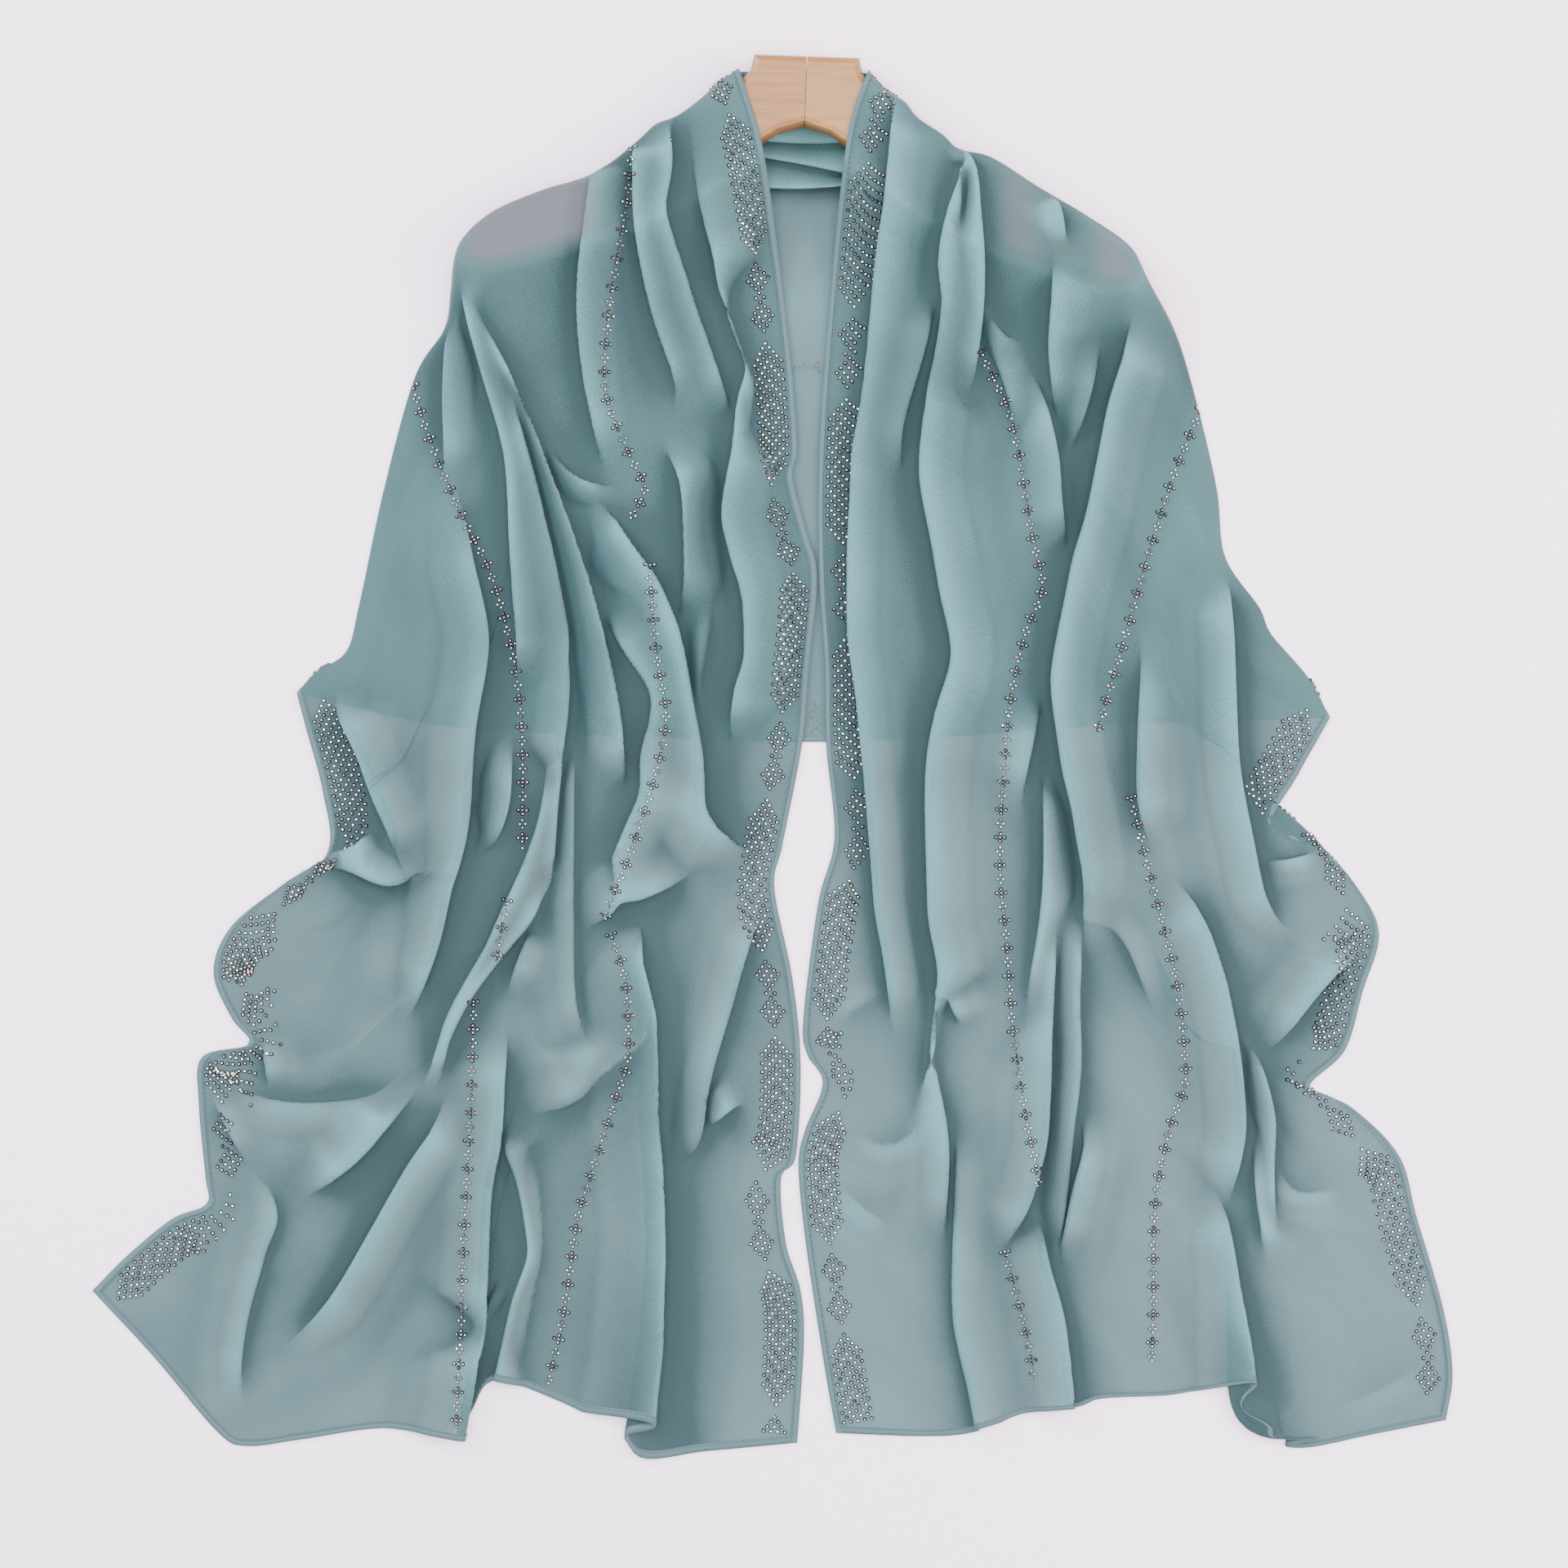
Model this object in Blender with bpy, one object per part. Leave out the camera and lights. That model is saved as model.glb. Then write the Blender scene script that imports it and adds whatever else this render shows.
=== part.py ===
# A chiffon scarf, 1.80 m by 0.70 m, laid over a contoured wooden hanger on a flat surface.
# Seen from above, +Y runs from the hems to the hanger and +X to the right. Z = 0 is the surface.
# The middle of the scarf lies under the hanger. Both ends turn over its arms and lie on the back.
# The tables are in millimetres, and MM turns them into metres.

import math

import bmesh
import bpy
import numpy as np

MM = 0.001

# Moves the middle of the whole outline to the origin.
TO_MIDDLE = np.array([1.0, -0.6, 0.0])

CLOTH_WALL = 1.2
SEAM_GAP = 0.3
WOOD_DEPTH = 24.0
WOOD_EDGE = 4.0
HANGER_MIDDLE = 19.0
HANGER_PIVOT = 400.0
HANGER_TILT = math.radians(-2.0)

# The front rests on the surface, on the back, or on the arm of the hanger.
ON_BACK = CLOTH_WALL + SEAM_GAP
ON_WOOD = ON_BACK + WOOD_DEPTH + SEAM_GAP
ARM_MARGIN = 10.0
ARM_FALL = 92.0
BEYOND_BACK = 60.0
STEP_DOWN = 10.0

# The cloth turns round the fold line in a quarter of an ellipse, tall where it passes an arm.
TURN_REACH = 4.0
TURN_INSET = 4.6
TURN_FADE = 14.0

# Sampling: rows run from the fold line to the hem, columns from the inner to the outer edge.
FRONT_COLUMNS = 47
FRONT_ROWS = 33
TURN_ROWS = (0.0, 0.0006, 0.002, 0.0045, 0.009, 0.018, 0.04, 0.06, 0.08, 0.105, 0.14)
FIRST_EVEN_ROW = 0.185
BACK_COLUMNS = 15
BACK_ROWS = 30
FINE_COLUMNS = 500
PATH_STEP = 5.0

# A fold is a bump whose top leans over its crisp edge, both as parts of its half width.
FOLD_LEAN = 0.5
FOLD_SETBACK = 0.8

# The gathers of the back run out below this line.
GATHER_END = 335.0
GATHER_FADE = 8.0

# Half of the hanger seen from above, as (distance from its middle, y), from the top of the neck
# round the shoulder to the middle of the arch.
HANGER_HALF = [
    (0, 427), (32, 427), (34, 417), (48, 403), (59, 393), (76, 382), (89, 372), (104, 363),
    (129, 348), (160, 335), (188, 320), (197, 312), (200, 306), (197, 300), (184, 300), (158, 307),
    (132, 316), (104, 327), (76, 341), (52, 357), (30, 372), (16, 381), (0, 386),
]

# Outlines of the scarf seen from above, as (x, y).
LEFT_FOLD_LINE = [
    (-22, 421), (-34, 413), (-46, 402), (-60, 392), (-73, 387), (-86, 375), (-111, 357),
    (-142, 347), (-172, 334), (-190, 318), (-196, 303), (-198, 285), (-202, 263), (-220, 234),
    (-239, 165), (-254, 95), (-262, 66), (-280, 54), (-292, 41),
]
RIGHT_FOLD_LINE = [
    (58, 420), (67, 409), (80, 401), (88, 391), (103, 381), (113, 372), (133, 367), (163, 348),
    (190, 332), (217, 313), (228, 293), (246, 260), (259, 217), (271, 165), (276, 124), (297, 93),
    (304, 77), (327, 50), (340, 26),
]
LEFT_INNER_EDGE = [
    (-22, 421), (-8, 375), (2, 312), (10, 245), (14, 191), (11, 174), (19, 141), (26, 112),
    (21, 54), (17, 10), (5, -52), (0, -79), (11, -134), (16, -186), (13, -243), (4, -256),
    (7, -296), (16, -325), (18, -357), (14, -418),
]
RIGHT_INNER_EDGE = [
    (58, 420), (47, 389), (41, 350), (35, 289), (29, 215), (27, 160), (28, 105), (31, 60),
    (32, 8), (37, -48), (27, -88), (18, -158), (20, -180), (30, -198), (19, -227), (15, -250),
    (20, -300), (31, -372), (38, -412),
]
LEFT_OUTER_EDGE = [
    (-292, 41), (-286, 18), (-276, -20), (-273, -56), (-300, -76), (-332, -102), (-343, -130),
    (-332, -158), (-321, -174), (-350, -182), (-352, -210), (-348, -255), (-347, -272),
    (-368, -281), (-395, -303), (-417, -325),
]
RIGHT_OUTER_EDGE = [
    (340, 26), (320, -10), (304, -42), (336, -56), (358, -80), (370, -107), (360, -142),
    (349, -178), (327, -201), (352, -212), (382, -242), (393, -280), (409, -335), (415, -375),
    (411, -404),
]
LEFT_HEM = [
    (14, -418), (-40, -423), (-91, -426), (-110, -405), (-140, -386), (-172, -380), (-186, -400),
    (-200, -413), (-240, -409), (-290, -416), (-322, -420), (-340, -412), (-380, -365),
    (-417, -325),
]
RIGHT_HEM = [
    (38, -412), (95, -414), (124, -411), (152, -400), (186, -396), (200, -391), (260, -389),
    (296, -386), (300, -416), (325, -421), (370, -412), (411, -404),
]
BACK_HEM = [(-292, 41), (-230, 26), (-185, 19), (-100, 15), (20, 11), (120, 15), (200, 21), (340, 26)]

# Folds of the fronts: the crisp edge runs through the path, which starts at its upper or left end.
# over is 1 where the cloth on the right of the travel lies over the left, and -1 the other way.
# Columns: name, over, half width, rise, fade in, fade out, path
LEFT_FOLDS = [
    ("beside the border", -1, 11, 8, 12, 30,
     [(-53, 400), (-45, 335), (-33, 280), (-20, 238), (-26, 195), (-34, 148), (-21, 95),
      (-22, 52), (-27, 5)]),
    ("broad panel, right side", 1, 12, 8, 12, 25,
     [(-62, 388), (-64, 335), (-47, 275), (-28, 205)]),
    ("broad panel, left side", -1, 12, 8, 12, 35,
     [(-86, 376), (-86, 335), (-78, 285), (-62, 222)]),
    ("shoulder pleat", -1, 11, 7, 12, 35,
     [(-111, 357), (-120, 300), (-120, 250), (-108, 185)]),
    ("arm end, left ridge", -1, 12, 9, 40, 30,
     [(-192, 296), (-180, 240), (-164, 170), (-160, 100), (-157, 40)]),
    ("arm end, middle ridge", 1, 10, 6, 50, 30,
     [(-158, 215), (-139, 145), (-125, 75), (-125, 20), (-133, -50)]),
    ("arm end, right ridge", 1, 11, 8, 60, 40,
     [(-188, 286), (-152, 215), (-121, 135), (-97, 52), (-91, -25)]),
    ("diagonal panel", 1, 15, 10, 40, 40,
     [(-104, 154), (-69, 108), (-50, 40), (-41, -25), (-12, -62)]),
    ("under the chain", -1, 11, 8, 35, 20,
     [(-108, 98), (-76, 42), (-83, 0), (-99, -58), (-110, -88)]),
    ("middle valley", -1, 11, 8, 35, 20,
     [(-73, 200), (-57, 160), (-57, 90)]),
    ("side panel", 1, 14, 9, 70, 50,
     [(-196, 180), (-175, 90), (-182, 0), (-190, -62), (-216, -130)]),
    ("strap", -1, 12, 10, 30, 30,
     [(-140, -5), (-152, -60), (-177, -115), (-205, -170), (-224, -215)]),
    ("cross fold", -1, 14, 10, 20, 30,
     [(-121, -108), (-85, -89), (-44, -67)]),
    ("long panel", 1, 16, 8, 30, 0,
     [(-82, -102), (-66, -165), (-63, -235), (-60, -320), (-57, -412)]),
    ("waist crease", 1, 9, 6, 25, 20,
     [(-8, -92), (-31, -170), (-43, -228), (-61, -254)]),
    ("lower panel", 1, 13, 8, 25, 0,
     [(-163, -165), (-166, -235), (-173, -310), (-188, -416)]),
    ("outer turn", -1, 12, 7, 12, 15,
     [(-263, 62), (-268, 24), (-246, -26), (-227, -74)]),
    ("upper swag", -1, 12, 8, 25, 25,
     [(-282, -67), (-256, -70), (-232, -79), (-198, -66)]),
    ("lower swag", 1, 11, 7, 15, 35,
     [(-335, -201), (-290, -210), (-245, -205), (-222, -188)]),
    ("diagonal swag", 1, 13, 8, 30, 40,
     [(-216, -198), (-247, -240), (-293, -272)]),
    ("long diagonal ridge", -1, 15, 9, 30, 60,
     [(-200, -200), (-221, -242), (-256, -303), (-305, -364)]),
    ("outer ridge", 1, 10, 5, 25, 30,
     [(-322, -250), (-302, -281), (-314, -315), (-325, -390)]),
]
RIGHT_FOLDS = [
    ("beside the border", -1, 10, 6, 12, 30,
     [(73, 402), (66, 340), (57, 260), (45, 150), (45, 70), (55, -20), (60, -90), (73, -170)]),
    ("second panel", -1, 14, 9, 12, 40,
     [(113, 370), (100, 310), (101, 268), (88, 195), (100, 100), (105, 60), (92, 5), (91, -70),
      (101, -138)]),
    ("valley, left side", 1, 12, 7, 20, 40,
     [(99, 288), (89, 240), (78, 195), (78, 150)]),
    ("shoulder panel", 1, 13, 9, 12, 20,
     [(117, 370), (125, 335), (128, 290), (119, 215)]),
    ("arm ridge", -1, 12, 8, 20, 20,
     [(170, 342), (170, 300), (167, 250), (175, 190)]),
    ("diagonal panel", 1, 11, 7, 20, 20,
     [(155, 245), (170, 205), (178, 130)]),
    ("arm end, left side", 1, 11, 7, 40, 15,
     [(200, 262), (193, 220), (175, 178)]),
    ("arm end, long ridge", -1, 14, 10, 30, 25,
     [(219, 275), (198, 195), (175, 95), (167, 45), (176, -15), (188, -88)]),
    ("chain panel", 1, 11, 7, 15, 15,
     [(167, 45), (157, 0), (150, -30)]),
    ("long strip, left side", -1, 10, 7, 20, 60,
     [(164, 0), (164, -60), (155, -140)]),
    ("long strip, right side", 1, 12, 8, 25, 20,
     [(174, -95), (170, -180), (165, -245), (133, -308)]),
    ("next strip", -1, 9, 7, 15, 15,
     [(187, -212), (190, -232), (179, -275), (173, -315)]),
    ("chain panel, hem end", 1, 13, 7, 12, 0,
     [(158, -268), (170, -312), (181, -360), (186, -402)]),
    ("straight strap", 1, 11, 7, 20, 40,
     [(101, -142), (100, -190), (107, -235), (104, -300)]),
    ("hem strap", -1, 9, 5, 20, 0,
     [(108, -222), (110, -270), (109, -345), (124, -414)]),
    ("outer edge of the back", 1, 10, 6, 12, 20,
     [(277, 122), (281, 80), (283, 26)]),
    ("outer ridge", -1, 12, 7, 60, 30,
     [(223, 90), (221, 10), (224, -35), (240, -62)]),
    ("outer long crease", 1, 13, 8, 30, 15,
     [(240, -70), (272, -120), (288, -205), (277, -278)]),
    ("outer strip", 1, 11, 7, 20, 35,
     [(285, -163), (304, -207), (306, -255), (308, -300)]),
    ("outer hem panel", 1, 15, 8, 15, 0,
     [(268, -258), (281, -295), (291, -338), (306, -386)]),
    ("outer cross fold", -1, 11, 7, 15, 8,
     [(297, -185), (330, -148), (362, -116)]),
    ("curved crease", -1, 12, 7, 12, 35,
     [(190, -93), (213, -110), (228, -146), (244, -170)]),
]
# Gathers of the back in the neck opening, below the arch of the hanger.
BACK_FOLDS = [
    ("lower gather", 1, 9, 9, 25, 25, [(-30, 349), (18, 348), (66, 352)]),
    ("upper gather", 1, 7, 6, 25, 25, [(-30, 364), (18, 361), (66, 359)]),
]


def smooth_step(value):
    value = np.clip(value, 0.0, 1.0)
    return value * value * (3.0 - 2.0 * value)


def smooth_path(points, step=PATH_STEP):
    """Even points along a smooth curve through the given ones."""
    points = np.array(points, dtype=float)
    before = 2 * points[0] - points[1]
    after = 2 * points[-1] - points[-2]
    knots = np.vstack([before, points, after])
    curve = []
    for index in range(1, len(knots) - 2):
        p0, p1, p2, p3 = knots[index - 1:index + 3]
        for t in np.linspace(0.0, 1.0, 12, endpoint=False):
            curve.append(0.5 * (2 * p1 + (p2 - p0) * t + (2 * p0 - 5 * p1 + 4 * p2 - p3) * t ** 2
                                + (3 * p1 - p0 - 3 * p2 + p3) * t ** 3))
    curve = np.array(curve + [points[-1]])
    run = np.concatenate([[0.0], np.cumsum(np.hypot(*np.diff(curve, axis=0).T))])
    count = max(2, int(run[-1] / step) + 1)
    even = np.linspace(0.0, run[-1], count)
    return np.column_stack([np.interp(even, run, curve[:, 0]), np.interp(even, run, curve[:, 1])])


def path_frame(path):
    """Run and left-hand normal at each point of a path."""
    steps = np.diff(path, axis=0)
    lengths = np.hypot(steps[:, 0], steps[:, 1])
    run = np.concatenate([[0.0], np.cumsum(lengths)])
    normals = np.column_stack([-steps[:, 1], steps[:, 0]]) / lengths[:, None]
    joined = np.vstack([normals[:1], normals[:-1] + normals[1:], normals[-1:]])
    return run, joined / np.hypot(joined[:, 0], joined[:, 1])[:, None]


def near_path(path, x, y):
    """Signed distance, run and left-hand normal at the nearest point of a path."""
    run, normals = path_frame(path)
    best = np.full(x.shape, 1e9)
    side = np.ones(x.shape)
    where = np.zeros(x.shape)
    for index in range(len(path) - 1):
        ax, ay = path[index]
        bx, by = path[index + 1]
        length = run[index + 1] - run[index]
        tx, ty = (bx - ax) / length, (by - ay) / length
        along = np.clip((x - ax) * tx + (y - ay) * ty, 0.0, length)
        dx, dy = x - ax - along * tx, y - ay - along * ty
        distance = np.hypot(dx, dy)
        closer = distance < best
        best = np.where(closer, distance, best)
        side = np.where(closer, np.sign(tx * dy - ty * dx), side)
        where = np.where(closer, run[index] + along, where)
    normal_x = np.interp(where, run, normals[:, 0])
    normal_y = np.interp(where, run, normals[:, 1])
    return best * side, where, run[-1], normal_x, normal_y


def inside_outline(outline, x, y):
    """True where a point lies inside a closed outline."""
    inside = np.zeros(x.shape, dtype=bool)
    for (ax, ay), (bx, by) in zip(outline, outline[1:] + outline[:1]):
        crosses = (ay > y) != (by > y)
        rise = by - ay if by != ay else 1e-9
        inside ^= crosses & (x < ax + (y - ay) * (bx - ax) / rise)
    return inside


def hanger_point(dx, y):
    """Place of a point of the hanger, which lies slightly turned."""
    cosine, sine = math.cos(HANGER_TILT), math.sin(HANGER_TILT)
    dy = y - HANGER_PIVOT
    return HANGER_MIDDLE + dx * cosine - dy * sine, HANGER_PIVOT + dx * sine + dy * cosine


def hanger_outline():
    right = [hanger_point(dx, y) for dx, y in HANGER_HALF]
    left = [hanger_point(-dx, y) for dx, y in HANGER_HALF]
    return right + left[-2:0:-1]


def arm_height(x, y):
    """Height of the cloth's underside over and beside the arms of the hanger."""
    outline = hanger_outline()
    distance = np.abs(near_path(np.array(outline + outline[:1], dtype=float), x, y)[0])
    distance = np.where(inside_outline(outline, x, y), 0.0, distance)
    fall = np.clip((distance - ARM_MARGIN) / ARM_FALL, 0.0, 1.0)
    return (ON_WOOD - ON_BACK) * (1.0 - fall) ** 2


def rest_height(x, y):
    """Height of the cloth's underside on the surface or on the back."""
    back = smooth_path(BACK_HEM)
    edge = np.interp(x, back[:, 0], back[:, 1])
    return ON_BACK * smooth_step((y - edge + BEYOND_BACK) / STEP_DOWN)


def fold_shift(folds, x, y, strength):
    """Sideways shift and rise that the folds give to a point."""
    shift_x = np.zeros(x.shape)
    shift_y = np.zeros(x.shape)
    rise = np.zeros(x.shape)
    for _, over, half_width, height, fade_in, fade_out, points in folds:
        path = smooth_path(points)
        distance, run, length, normal_x, normal_y = near_path(path, x, y)
        lean = FOLD_LEAN * half_width
        centre = distance + over * FOLD_SETBACK * half_width
        bump = np.where(np.abs(centre) < half_width,
                        np.cos(math.pi * centre / (2 * half_width)) ** 2, 0.0) * strength
        if fade_in:
            bump = bump * smooth_step(run / fade_in)
        if fade_out:
            bump = bump * smooth_step((length - run) / fade_out)
        shift_x += over * lean * bump * normal_x
        shift_y += over * lean * bump * normal_y
        rise += height * bump
    return shift_x, shift_y, rise


class Outline:
    """Four smooth edges of a piece of cloth, seen from above."""

    def __init__(self, top, inner, outer, hem):
        self.top = smooth_path(top)
        self.inner = smooth_path(inner)
        self.outer = smooth_path(outer)
        self.hem = smooth_path(hem)

    def flat(self, u, v):
        """Point inside the outline: u from inner to outer edge, v from top to hem."""
        def along(path, t):
            t = t * (len(path) - 1)
            index = np.arange(len(path))
            return np.interp(t, index, path[:, 0]), np.interp(t, index, path[:, 1])
        corners = (self.top[0], self.top[-1], self.hem[0], self.hem[-1])
        result = []
        for axis in (0, 1):
            across = (1 - v) * along(self.top, u)[axis] + v * along(self.hem, u)[axis]
            down = (1 - u) * along(self.inner, v)[axis] + u * along(self.outer, v)[axis]
            both = ((1 - u) * (1 - v) * corners[0][axis] + u * (1 - v) * corners[1][axis]
                    + (1 - u) * v * corners[2][axis] + u * v * corners[3][axis])
            result.append(across + down - both)
        return result


class Front(Outline):
    """One end of the scarf, from the line where it turns over down to its hem."""

    def __init__(self, fold_line, inner_edge, outer_edge, hem, folds):
        super().__init__(fold_line, inner_edge, outer_edge, hem)
        self.folds = folds

    def surface(self, u, v):
        """Upper face of the cloth, in millimetres."""
        x, y = self.flat(u, v)
        from_turn = np.abs(near_path(self.top, x, y)[0])
        strength = smooth_step(from_turn / TURN_FADE)
        shift_x, shift_y, rise = fold_shift(self.folds, x, y, strength)
        x = x + shift_x
        y = y + shift_y
        height = rest_height(x, y) + arm_height(x, y) + rise + CLOTH_WALL
        turn = np.sqrt(1.0 - (1.0 - np.clip(from_turn / TURN_REACH, 0.0, 1.0)) ** 2)
        return np.stack([x, y, height * turn], axis=-1)

    def rows(self):
        """Upper and lower face as grids of points, evenly spaced along each row of the cloth."""
        fine = np.linspace(0.0, 1.0, FINE_COLUMNS)
        rows = TURN_ROWS + tuple(np.linspace(FIRST_EVEN_ROW, 1.0, FRONT_ROWS - len(TURN_ROWS)))
        upper, lower = [], []
        for v in rows:
            line = self.surface(fine, np.full(fine.shape, v))
            run = np.concatenate([[0.0], np.cumsum(np.linalg.norm(np.diff(line, axis=0), axis=1))])
            u = np.interp(np.linspace(0.0, run[-1], FRONT_COLUMNS), run, fine)
            points = self.surface(u, np.full(u.shape, v))
            normals = self.normals(u, np.full(u.shape, v))
            upper.append(points)
            under = points - CLOTH_WALL * normals
            under[:, 2] = np.maximum(under[:, 2], 0.0)
            lower.append(under)
        return np.array(upper), np.array(lower)

    def normals(self, u, v, step=0.0015):
        """Upward normals; at the fold line they point away from the cloth."""
        across = self.surface(np.clip(u + step, 0, 1), v) - self.surface(np.clip(u - step, 0, 1), v)
        down = self.surface(u, np.clip(v + step, 0, 1)) - self.surface(u, np.clip(v - step / 8, 0, 1))
        if v[0] < 0.001:
            down = self.surface(u, v + 0.0004) - self.surface(u, v)
        normal = np.cross(across, down)
        normal[normal[:, 2] < 0] *= -1
        return normal / np.linalg.norm(normal, axis=1)[:, None]


def wall_mesh(name, upper, lower, colour):
    """A closed wall between two grids of points with the same rows and columns."""
    rows, columns = upper.shape[:2]
    mesh_data = bmesh.new()
    grids = [[[mesh_data.verts.new((point + TO_MIDDLE) * MM) for point in row] for row in grid]
             for grid in (upper, lower)]
    top, bottom = grids
    for i in range(rows - 1):
        for j in range(columns - 1):
            mesh_data.faces.new([top[i][j], top[i][j + 1], top[i + 1][j + 1], top[i + 1][j]])
            mesh_data.faces.new([bottom[i][j], bottom[i + 1][j], bottom[i + 1][j + 1],
                                 bottom[i][j + 1]])
    rim = ([(0, j) for j in range(columns)] + [(i, columns - 1) for i in range(1, rows)]
           + [(rows - 1, j) for j in range(columns - 2, -1, -1)]
           + [(i, 0) for i in range(rows - 2, 0, -1)])
    for (i, j), (k, m) in zip(rim, rim[1:] + rim[:1]):
        mesh_data.faces.new([top[i][j], bottom[i][j], bottom[k][m], top[k][m]])
    return finish(name, mesh_data, colour, 0.85)


def finish(name, mesh_data, colour, roughness):
    """Turn a bmesh into a named object with its own material."""
    bmesh.ops.recalc_face_normals(mesh_data, faces=mesh_data.faces)
    mesh = bpy.data.meshes.new(name)
    mesh_data.to_mesh(mesh)
    mesh_data.free()
    mesh.shade_smooth()
    mesh.set_sharp_from_angle(angle=math.radians(50))
    material = bpy.data.materials.new(name + "_finish")
    material.use_nodes = True
    shader = material.node_tree.nodes["Principled BSDF"]
    shader.inputs["Base Color"].default_value = colour
    shader.inputs["Roughness"].default_value = roughness
    mesh.materials.append(material)
    piece = bpy.data.objects.new(name, mesh)
    bpy.context.scene.collection.objects.link(piece)
    return piece


def build_back(left, right):
    """The middle of the scarf, flat on the surface, with gathers in the neck opening."""
    def inset(path, sign):
        _, normals = path_frame(path)
        return path + normals * sign * (CLOTH_WALL + TURN_INSET)
    near, far = inset(left.top, 1), inset(right.top, -1)
    hem = [near[-1]] + BACK_HEM[1:-1] + [far[-1]]
    back = Outline([near[0], far[0]], near, far, hem)
    upper = []
    for v in np.linspace(0.0, 1.0, BACK_ROWS) ** 1.5:
        u = np.linspace(0.0, 1.0, BACK_COLUMNS)
        x, y = back.flat(u, np.full(u.shape, v))
        within = smooth_step((y - GATHER_END) / GATHER_FADE)
        rise = fold_shift(BACK_FOLDS, x, y, within)[2]
        upper.append(np.stack([x, y, rise + CLOTH_WALL], axis=-1))
    upper = np.array(upper)
    lower = upper - np.array([0.0, 0.0, CLOTH_WALL])
    return wall_mesh("scarf_back", upper, lower, (0.15, 0.31, 0.29, 1.0))


def build_hanger_half(name, side):
    """One arm of the hanger, from the mitre in the neck to the shoulder end."""
    mesh_data = bmesh.new()
    outline = [hanger_point(side * max(dx, SEAM_GAP / 2), y) for dx, y in HANGER_HALF]
    corners = [mesh_data.verts.new((np.array([x, y, ON_BACK]) + TO_MIDDLE) * MM)
               for x, y in outline]
    face = mesh_data.faces.new(corners)
    raised = bmesh.ops.extrude_face_region(mesh_data, geom=[face])["geom"]
    moved = [part for part in raised if isinstance(part, bmesh.types.BMVert)]
    bmesh.ops.translate(mesh_data, verts=moved, vec=(0, 0, WOOD_DEPTH * MM))
    seam = (corners[0].co.xy, corners[-1].co.xy)
    rounded = []
    for edge in mesh_data.edges:
        flat = abs(edge.verts[0].co.z - edge.verts[1].co.z) < 1e-6
        on_seam = all(min((vert.co.xy - end).length for end in seam) < 1e-6 for vert in edge.verts)
        if flat and not on_seam:
            rounded.append(edge)
    bmesh.ops.bevel(mesh_data, geom=rounded, offset=WOOD_EDGE * MM, segments=2, profile=0.5,
                    affect="EDGES", material=-1)
    bmesh.ops.dissolve_degenerate(mesh_data, dist=0.00001, edges=mesh_data.edges)
    return finish(name, mesh_data, (0.62, 0.42, 0.27, 1.0), 0.45)


for old in list(bpy.data.objects):
    bpy.data.objects.remove(old, do_unlink=True)

left_front = Front(LEFT_FOLD_LINE, LEFT_INNER_EDGE, LEFT_OUTER_EDGE, LEFT_HEM, LEFT_FOLDS)
right_front = Front(RIGHT_FOLD_LINE, RIGHT_INNER_EDGE, RIGHT_OUTER_EDGE, RIGHT_HEM, RIGHT_FOLDS)
wall_mesh("scarf_front_left", *left_front.rows(), (0.18, 0.36, 0.34, 1.0))
wall_mesh("scarf_front_right", *right_front.rows(), (0.19, 0.37, 0.35, 1.0))
build_back(left_front, right_front)
build_hanger_half("hanger_left", -1)
build_hanger_half("hanger_right", 1)
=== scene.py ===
# A sheer chiffon scarf with rhinestone borders, laid over a beech hanger on a pale surface.
# Lengths in the tables are millimetres, seen from above: x to the right, y towards the hanger.
import math
import random

import bmesh
import bpy
import numpy as np
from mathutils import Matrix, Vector, noise
from mathutils.bvhtree import BVHTree


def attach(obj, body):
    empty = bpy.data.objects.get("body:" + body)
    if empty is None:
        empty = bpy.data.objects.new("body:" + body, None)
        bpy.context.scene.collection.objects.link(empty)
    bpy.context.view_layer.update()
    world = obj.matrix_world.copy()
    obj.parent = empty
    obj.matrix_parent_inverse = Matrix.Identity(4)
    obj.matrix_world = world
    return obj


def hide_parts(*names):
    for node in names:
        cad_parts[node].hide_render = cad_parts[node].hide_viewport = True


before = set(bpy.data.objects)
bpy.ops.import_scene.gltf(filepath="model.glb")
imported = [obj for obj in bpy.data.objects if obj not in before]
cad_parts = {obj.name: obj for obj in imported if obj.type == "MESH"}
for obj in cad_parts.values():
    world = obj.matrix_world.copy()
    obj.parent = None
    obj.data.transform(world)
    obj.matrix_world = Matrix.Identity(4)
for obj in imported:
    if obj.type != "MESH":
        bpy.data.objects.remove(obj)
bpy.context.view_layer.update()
mm = 0.001
toMiddle = np.array([1.0, -0.6, 0.0])  # moves the tables to the middle of the part


# Small helpers
def smoothStep(value):
    value = np.clip(value, 0.0, 1.0)
    return value * value * (3.0 - 2.0 * value)


def between(value, start, end, soft, outside=0.0):
    # 1 between start and end, 0 past them; the soft edges may start outside, as a share of their width
    return smoothStep((value - start) / soft + outside) * smoothStep((end - value) / soft + outside)


def hexColour(code):
    code = code.lstrip("#")
    srgb = [int(code[i:i + 2], 16) / 255 for i in (0, 2, 4)]
    return tuple(c / 12.92 if c <= 0.04045 else ((c + 0.055) / 1.055) ** 2.4 for c in srgb) + (1.0,)


def unit(vectors):
    return vectors / np.maximum(np.linalg.norm(vectors, axis=-1, keepdims=True), 1e-9)


def runAlong(points):
    # how far along a line each of its points is
    steps = np.linalg.norm(np.diff(points, axis=0), axis=1)
    return np.concatenate([[0.0], np.cumsum(steps)])


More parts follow.
